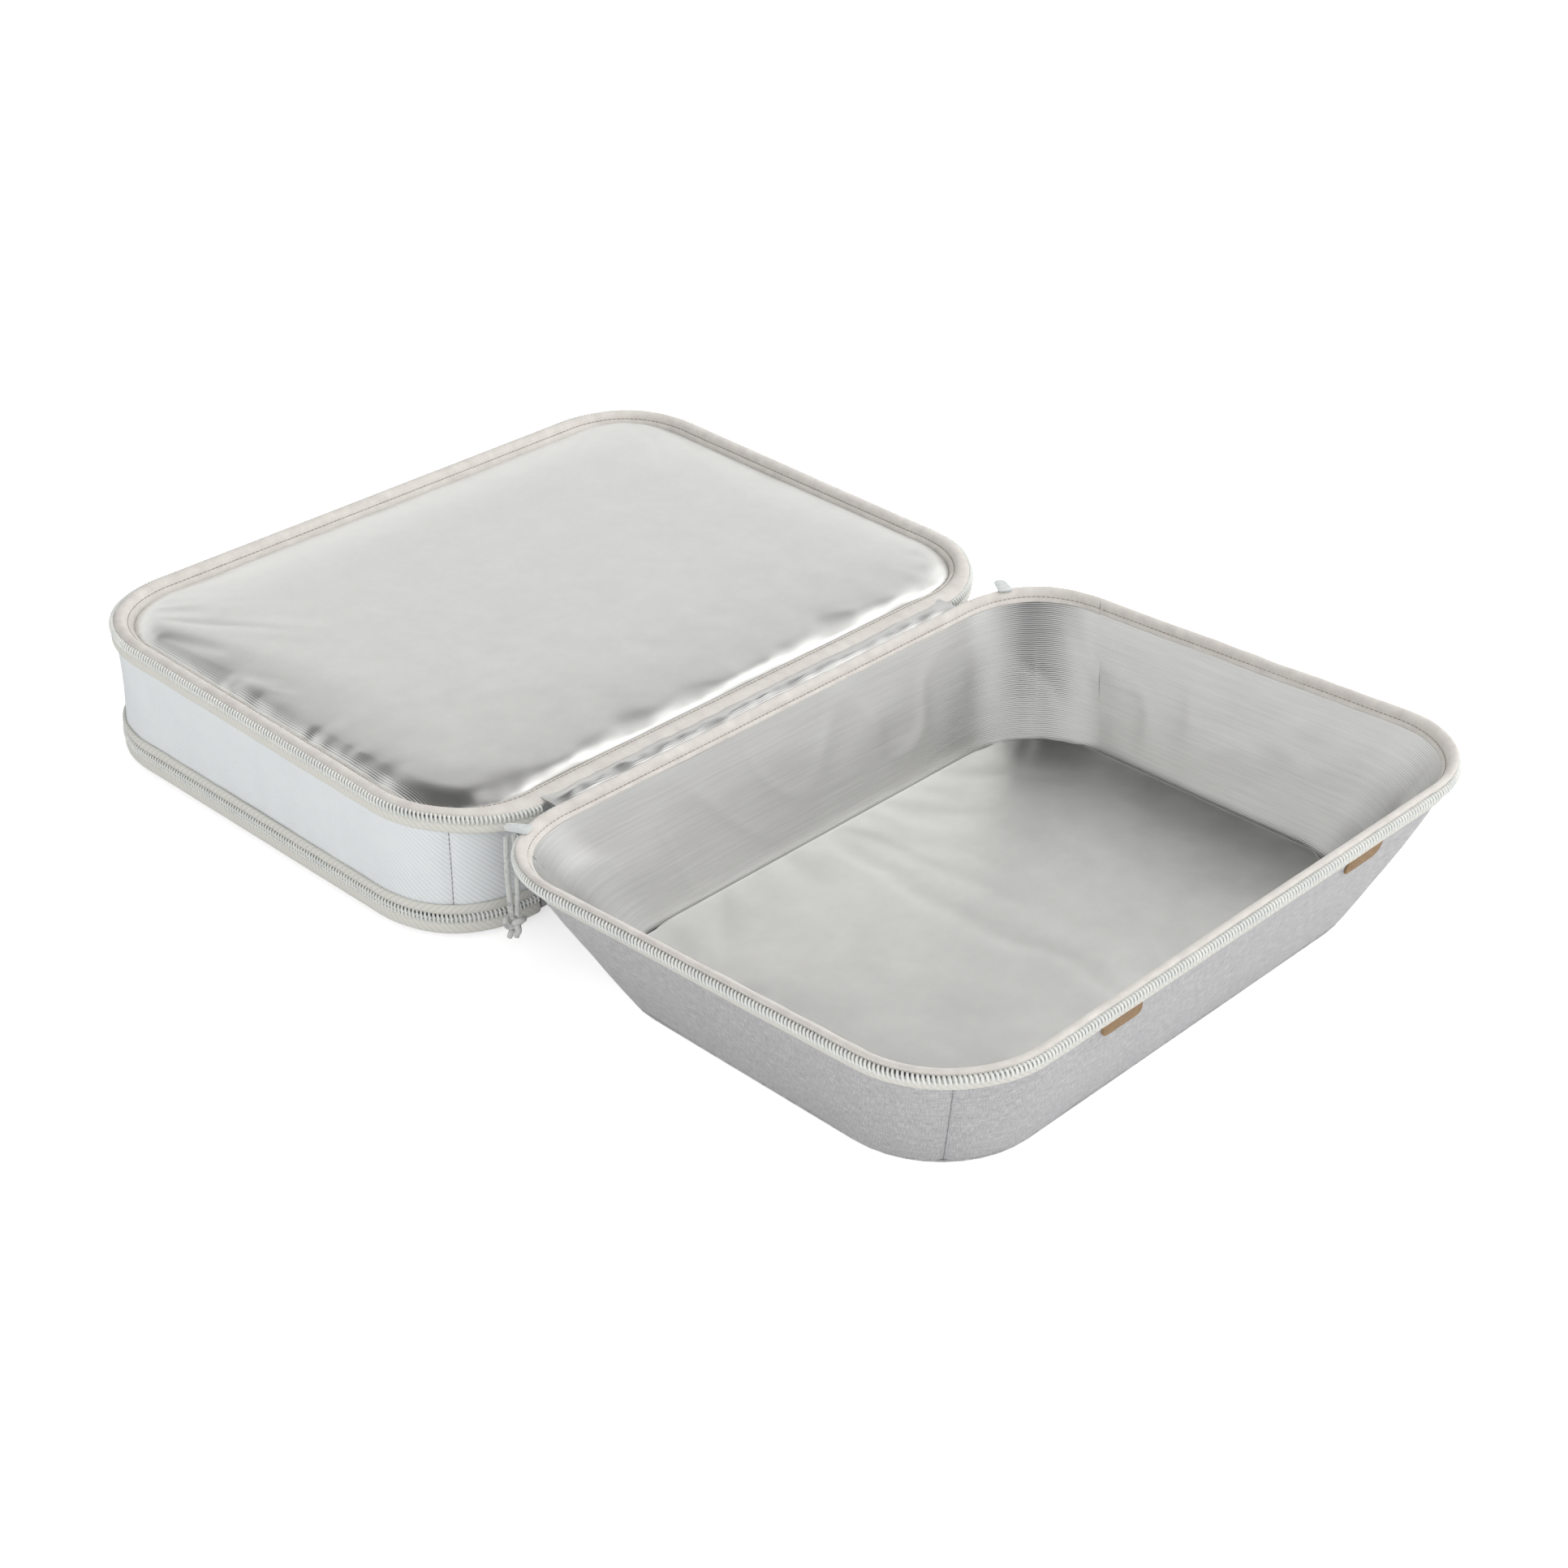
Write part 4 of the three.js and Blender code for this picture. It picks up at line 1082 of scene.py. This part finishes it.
def slider_crown(back):
    """The arch over the crown plate, spun from its own section."""
    arch = start_piece("crown", bpy.ops.mesh.primitive_plane_add, size=MM)
    edit_all(arch)
    bpy.ops.transform.resize(value=(CROWN_BAR, CROWN_WIDE, 1))
    bpy.ops.transform.translate(value=(-CROWN_HALF * MM, 0, 0))
    bpy.ops.mesh.spin(
        steps=10, angle=math.pi, center=(0, 0, 0), axis=(0, 1, 0), dupli=False)
    bpy.ops.mesh.select_all(action="SELECT")
    bpy.ops.mesh.remove_doubles(threshold=0.01 * MM)
    bpy.ops.mesh.normals_make_consistent(inside=False)
    bpy.ops.object.mode_set(mode="OBJECT")
    foot = (SLIDER_GAP / 2 + SLIDER_PLATE - 0.2) * MM
    for vertex in arch.data.vertices:
        vertex.co = (vertex.co.x - back * MM, vertex.co.y, abs(vertex.co.z) + foot)
    round_edges(arch, 0.25)
    return arch


def cast_slider(name, crown_plate, back_plate, crown_back):
    """Slider with its length on X, the coil's plane on Y and its crown on Z."""
    half = (SLIDER_GAP + SLIDER_PLATE) / 2
    pieces = [
        slider_plate(half, *crown_plate), slider_plate(-half, *back_plate),
        slider_crown(crown_back)]
    bpy.ops.object.select_all(action="DESELECT")
    bpy.ops.mesh.primitive_cone_add(
        vertices=4, radius1=2.0 * MM, radius2=1.6 * MM, depth=(SLIDER_GAP + 0.6) * MM,
        location=((2.6 - SLIDER_HALF) * MM, 0, 0))
    bpy.ops.object.transform_apply(location=True, rotation=True, scale=True)
    for piece in pieces:
        piece.select_set(True)
    bpy.ops.object.join()
    slider = bpy.context.object
    slider.name = slider.data.name = name
    smooth(slider, 35)
    return slider


for side, along in SLIDER_PLACES.items():
    slider = cast_slider(
        f"zip_slider_{side}", (-SLIDER_HALF, 0), (-SLIDER_HALF, SLIDER_HALF), CROWN_BACK)
    x, y, z = tub_point(along, 0, TUB_HEIGHT)
    seat = outline(RIM, along, SLIDER_OUT)
    inwards = math.atan2(y - seat[1], x - seat[0])
    level = z + 1.0 - SLIDER_GAP / 2 - SLIDER_PLATE
    slider.data.transform(
        Matrix.Translation(Vector((*seat, level)) * MM) @ Matrix.Rotation(inwards, 4, "Z")
        @ Matrix.Rotation(math.pi, 4, "X"))
    dress(slider, zinc, f"{side}_slider", "slider_metal", f"main_slider_{side}")


# Cord pull
# A limp braided cord, threaded through the left slider's crown and tied in one overhand
# knot, so two strands hang side by side with the knot at their foot and cut tails below.

CORD_THICK = 3.0
CORD_LONG = 48
CORD_FLECK = 2.4

# Braided polyester: pale grey with darker flecks, scattered in small random cells.
braid, tree, shader, place = new_finish("braided_cord", 0.85)
fleck = add_node(tree, "TexVoronoi", {"Vector": place, "Scale": 1 / CORD_FLECK / MM})
tint = add_node(tree, "ValToRGB", {"Fac": fleck.outputs["Color"]}, shader.inputs["Base Color"])
set_ramp(tint, (0.0, "#A9ABAC"), (0.25, "#C9CAC8"), (0.8, "#D8D9D6"))
strands = add_node(tree, "TexVoronoi", {"Vector": place, "Scale": 1 / 0.8 / MM})
add_node(tree, "Bump", {
    "Strength": 0.5, "Distance": 0.2 * MM, "Height": strands.outputs["Distance"]},
    shader.inputs["Normal"])


def lay_cord(name, points, thick):
    """Round cord along a smooth line through points."""
    cord = thread_path(name, points)
    cord.data.twist_mode = "MINIMUM"
    cord.data.bevel_depth = thick / 2 * MM
    cord.data.bevel_resolution = 3
    cord.data.use_fill_caps = True
    cord.data.splines[0].use_smooth = True
    return cord


knot_low, knot_high = (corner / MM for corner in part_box("pull_left_knot"))
knot_middle = (knot_low + knot_high) / 2
KNOT_SIZE = 2.1
KNOT_STEPS = 60
KNOT_ACROSS = Vector((0.77, -0.64, 0))
KNOT_DEEP = Vector((0.64, 0.77, 0))
loops = []
for step in range(KNOT_STEPS + 1):
    turn = math.tau * step / KNOT_STEPS
    loops.append(
        knot_middle + KNOT_SIZE * (math.sin(turn) + 1.4 * math.sin(2 * turn)) * KNOT_ACROSS
        + KNOT_SIZE * 1.1 * math.sin(3 * turn) * KNOT_DEEP
        + Vector((0, 0, KNOT_SIZE * (math.cos(turn) - 1.4 * math.cos(2 * turn)))))
knot = lay_cord("pull_knot", loops, CORD_THICK + 0.5)
tails = []
for side in (-1, 1):
    start = knot_middle + 1.4 * side * KNOT_ACROSS + Vector((0, 0, -3))
    end = start + (0.4 * side - 1.4) * KNOT_ACROSS + 0.8 * KNOT_DEEP + Vector((0, 0, -5.5))
    tails.append(lay_cord(
        f"pull_tail_{'ab'[side > 0]}", [start, (start + end) / 2, end], CORD_THICK))
for piece in (knot, *tails):
    select_only(piece)
    bpy.ops.object.convert(target="MESH")
select_only(knot)
for piece in tails:
    piece.select_set(True)
bpy.ops.object.join()
knot = bpy.context.object
smooth(knot, 60)
dress(knot, braid, "cord_pull", "pull_cord", "pull_left_knot")

for end in "ab":
    low, high = (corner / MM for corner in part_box(f"pull_left_strand_{end}"))
    way = -1 if end == "a" else 1
    top = Vector((*knot_middle.xy, high.z)) + 1.9 * way * KNOT_ACROSS
    line = []
    for step in range(17):
        share = step / 16
        bow = 0.6 * math.sin(math.pi * share) - 0.5 * share * share
        line.append(
            top + way * bow * KNOT_ACROSS + 0.4 * math.sin(math.tau * share) * KNOT_DEEP
            + Vector((0, 0, -CORD_LONG * share)))
    strand = lay_cord(f"pull_strand_{end}", line, CORD_THICK)
    dress(strand, braid, "cord_pull", "pull_cord", f"pull_left_strand_{end}")


# Lid
# The closing panel of the upper compartment, face down on the ground: canvas outside, a
# sheet of foam, and foil inside, edged all round by its half of the zipper.

LID_FACE = 2.3
LID_PANEL_HIGH = 5.4
LID_FOIL_HIGH = 10.4
LID_CORNER = 52
LID_VOXEL = 3.2
lid_panel = round_plate("lid_panel_cloth", (*RIM[:2], LID_CORNER), LID_FACE, LID_PANEL_HIGH)
lid_pad = round_plate(
    "lid_padding", (RIM[0] - 8, RIM[1] - 8, LID_CORNER), LID_PANEL_HIGH + 0.1, LID_FOIL_HIGH)
for piece, width in ((lid_panel, 1.4), (lid_pad, 1.6)):
    round_edges(piece, width, 3)
    for vertex in piece.data.vertices:
        vertex.co.y += COVER_Y * MM
swell(lid_pad, LID_VOXEL, lambda p: p.z < LID_PANEL_HIGH + 2.2, 0.01, 0.6, 0.8)
shape_with(lid_pad, "SMOOTH", factor=0.5, iterations=4)
cut = lid_pad.data.uv_layers.active or lid_pad.data.uv_layers.new(name="UVMap")
for loop in lid_pad.data.loops:
    cut.data[loop.index].uv = lid_pad.data.vertices[loop.vertex_index].co.xy
smooth(lid_panel, 40)
smooth(lid_pad, 60)
dress(lid_panel, canvas, "lid", "heather_fabric", "lid_panel")
dress(lid_pad, foil, "lid", "foil_lining", "lid_foam", "lid_lining")


# Zipper and hinge of the lid
# The lid's half of the lower zipper, and a doubled strip of canvas on the hinge side, sewn
# to the lid and to the foot of the wall above it.

def lid_point(along, out, z):
    """Point on the lid's edge."""
    x, y = outline(RIM, along, out + corner_pull(along, COVER_PULLS))
    return x, y + COVER_Y, z


zipper("lid", "lid", HINGE_END, lid_point, LID_SEAM, 1, SHUT_COIL, "lid_zip")

LID_HINGE_LOW = 3.6
LID_HINGE_HIGH = LID_SEAM + 7.6


def lid_hinge_place(u, v):
    """Place on the strip that hinges the lid."""
    along = HINGE_START + 1 + (SIDE_RUNS[0] - 2) * u
    z = LID_HINGE_LOW + (LID_HINGE_HIGH - LID_HINGE_LOW) * v
    tucked = 0.7 * math.sin(math.pi * v) + bump(along, z, 16, 0.3)
    return cover_point(along, 0.9 - tucked, z)


strip = (SIDE_RUNS[0] - 2, LID_HINGE_HIGH - LID_HINGE_LOW)
lid_hinge = lay_cloth("lid_hinge", 110, 12, strip, lid_hinge_place)
thicken(lid_hinge, HINGE_THICK, -1)
dress(lid_hinge, canvas, slot="heather_fabric")
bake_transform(lid_hinge)
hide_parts("lid_hinge_strip", "gusset_hinge_strip")


# Carry handles
# Polyester webbing laid flat against the lid, each a U whose ends go under leather patches
# with boxed stitching. The patches are sewn to the lid, and the handles hinge in them.

STRAP_WIDTH = 25
STRAP_THICK = 2
STRAP_SECTION = [
    (-12.5, 0.9), (-12.2, 0.3), (-11.4, 0.1), (0, 0.0), (11.4, 0.1), (12.2, 0.3),
    (12.5, 0.9), (12.2, 1.6), (11.4, 1.9), (0, 2.0), (-11.4, 1.9), (-12.2, 1.6)]
HANDLE_SPREAD = 150
HANDLE_REACH = 78
HANDLE_RADIUS = 30
HANDLE_PIVOT = 96
PATCH = (34, 36, 6)
PATCH_GAP = 1.3
PATCH_STITCH = {"length": 2.2, "pitch": 3.2, "thick": 0.6}
PATCH_BOX = [(-13, -14), (13, -14), (13, 14), (-13, 14), (-13, -14), (13, 14)]
WEBBING_RIB = 1.6

# Webbing: heavy flat polyester weave with ribs across its width.
webbing, tree, shader, cloth = new_finish("flat_webbing", 0.85, "UV")
ribs = add_node(tree, "TexWave", {
    "Vector": cloth, "Scale": bands(WEBBING_RIB), "Distortion": 1.0, "Detail": 2.0},
    bands_direction="X")
rows = add_node(tree, "TexWave", {
    "Vector": cloth, "Scale": bands(WEBBING_RIB * 1.7), "Distortion": 1.0},
    bands_direction="Y")
weave = add_node(tree, "Math", {
    0: ribs.outputs["Fac"], 1: rows.outputs["Fac"]}, operation="MULTIPLY")
# Painted shade: the weave darkens the webbing's colour in the grooves between its ribs and
# rows.
tint = add_node(tree, "ValToRGB", {"Fac": weave.outputs[0]}, shader.inputs["Base Color"])
set_ramp(tint, (0.0, "#B2B4B7"), (0.6, "#C9CBCD"))
add_node(tree, "Bump", {
    "Strength": 0.6, "Distance": 0.3 * MM, "Height": weave.outputs[0]},
    shader.inputs["Normal"])


def handle_line():
    """Middle line of the U, with the way across it at each point."""
    half, turn = HANDLE_SPREAD / 2, HANDLE_RADIUS - STRAP_WIDTH / 2
    grip = HANDLE_REACH - STRAP_WIDTH / 2
    line = [(half, y, 1.0, 0.0) for y in range(0, int(grip - turn), 4)]
    for step in range(9):
        angle = math.pi / 2 * step / 8
        line.append((half - turn + turn * math.cos(angle), grip - turn + turn * math.sin(angle),
                     math.cos(angle), math.sin(angle)))
    reach = int((half - turn) / 4)
    line += [((half - turn) * (1 - n / reach), grip, 0.0, 1.0) for n in range(1, reach)]
    return line + [(-x, y, -a, b) for x, y, a, b in [(0, grip, 0.0, 1.0), *reversed(line)]]


for name, way in (("front", -1), ("back", 1)):
    line = handle_line()

    def strap_place(u, v):
        """Place on the strap: round its flat section, all along the U."""
        x, y, across_x, across_y = line[round(u * (len(line) - 1))]
        across, z = STRAP_SECTION[round(v * len(STRAP_SECTION)) % len(STRAP_SECTION)]
        x, y = x + across * across_x, y + across * across_y - HANDLE_PIVOT
        return x * way, y * way + COVER_Y, z

    handle = lay_cloth(
        f"webbing_handle_{name}", len(line) - 1, 12, (260, 54), strap_place)
    weld(handle)
    edit_all(handle)
    bpy.ops.mesh.fill_holes(sides=0)
    bpy.ops.mesh.normals_make_consistent(inside=False)
    bpy.ops.object.mode_set(mode="OBJECT")
    smooth(handle, 35)
    dress(handle, webbing, f"{name}_handle", "webbing", f"handle_{name}")
    for end, across in (("a", -1), ("b", 1)):
        patch = round_plate(f"handle_patch_cloth_{name}_{end}", PATCH, 0.1, STRAP_THICK + 0.2)
        round_edges(patch, 0.4)
        middle = Vector((
            across * way * HANDLE_SPREAD / 2,
            COVER_Y - way * (HANDLE_PIVOT + PATCH_GAP + PATCH[1] / 2), 0))
        patch.data.transform(Matrix.Translation(middle * MM))
        smooth(patch, 35)
        dress(patch, leather, "lid", "tan_leather", f"handle_patch_{name}_{end}")
        corners = [middle + Vector((x, y, 0.32)) for x, y in PATCH_BOX]
        sewn = []
        for first, second in zip(corners, corners[1:]):
            sewn += [first.lerp(second, n / 12) for n in range(12)]
        stitch_line(f"patch_stitches_{name}_{end}", sewn, thread, "lid", **PATCH_STITCH)


# Sliders of the lid's zipper
# Two more cast sliders, back to back in the middle of the free edge, each with a flat puller
# hooked through its crown.

LID_SLIDER_HALF = 5.5
for side, way in (("left", -1), ("right", 1)):
    slider = cast_slider(
        f"lid_zip_slider_{side}", (-LID_SLIDER_HALF, LID_SLIDER_HALF), (-LID_SLIDER_HALF, 0), 0)
    low, high = (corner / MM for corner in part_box(f"lid_slider_{side}"))
    seat = ((low.x + high.x) / 2, low.y + 0.6, LID_SEAM)
    slider.data.transform(
        Matrix.Translation(Vector(seat) * MM) @ Matrix.Rotation(math.pi / 2 * (1 - way), 4, "Y")
        @ Matrix.Rotation(-math.pi / 2 * way, 4, "X"))
    dress(slider, zinc, f"{side}_lid_slider", "slider_metal", f"lid_slider_{side}")
    dress(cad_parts[f"lid_puller_{side}"], zinc)


# Floor and light
# A white sweep under two broad lamps, with even light from all round. The far
# wall of the studio is pale and its ceiling dark, which is what the foil shows, and a dim
# soft box on the right gives it its highlights.

FLOOR_SIZE = 30
FLOOR_GLOW = 0.6
MIRRORED_GLOW = 0.12
LIGHT_AIM = Vector((0, 0.15, 0))
LAMPS = (
    ("key_light", (1.5, -0.85, 1.9), 3.4, 42, False),
    ("fill_light", (-1.8, -1.2, 1.2), 2.6, 15, False),
    ("edge_light", (1.5, -0.4, 1.9), 2.0, 17, True))
bpy.ops.object.select_all(action="DESELECT")
bpy.ops.mesh.primitive_plane_add(size=FLOOR_SIZE, location=(0, 0, -0.2 * MM))
floor = bpy.context.object
floor.name = "floor"
sweep, tree, shader, place = new_finish("white_sweep", 0.9)
shader.inputs["Base Color"].default_value = linear("#F4F4F4")
rays = add_node(tree, "LightPath")
mirrored = add_node(tree, "Math", {
    0: rays.outputs["Is Glossy Ray"], 1: rays.outputs["Is Transmission Ray"]},
    operation="MAXIMUM")
mirrored = add_node(tree, "Math", {
    0: mirrored.outputs[0], 1: MIRRORED_GLOW}, operation="MULTIPLY")
white = add_node(tree, "Math", {
    0: rays.outputs["Is Camera Ray"], 1: FLOOR_GLOW, 2: mirrored.outputs[0]},
    operation="MULTIPLY_ADD")
tree.links.new(white.outputs[0], shader.inputs["Emission Strength"])
shader.inputs["Emission Color"].default_value = (1, 1, 1, 1)
floor.data.materials.append(sweep)

world = bpy.data.worlds.new("studio")
scene.world = world
world.use_nodes = True
tree = world.node_tree
backdrop = tree.nodes["Background"]
backdrop.inputs["Color"].default_value = (1, 1, 1, 1)
way = add_node(tree, "SeparateXYZ", {
    0: add_node(tree, "TexCoord").outputs["Generated"]})
height = add_node(tree, "MapRange", {
    "Value": way.outputs["Z"], "From Min": 0.55, "From Max": 0.79, "To Min": 0.98,
    "To Max": 0.05}, interpolation_type="SMOOTHSTEP")
tree.links.new(height.outputs[0], backdrop.inputs["Strength"])

for name, place, size, power, mirrored in LAMPS:
    bpy.ops.object.light_add(type="AREA", location=place)
    lamp = bpy.context.object
    lamp.name = name
    lamp.data.size = size
    lamp.data.energy = power
    lamp.visible_glossy = mirrored
    lamp.rotation_euler = (Vector(place) - LIGHT_AIM).to_track_quat("Z", "Y").to_euler()
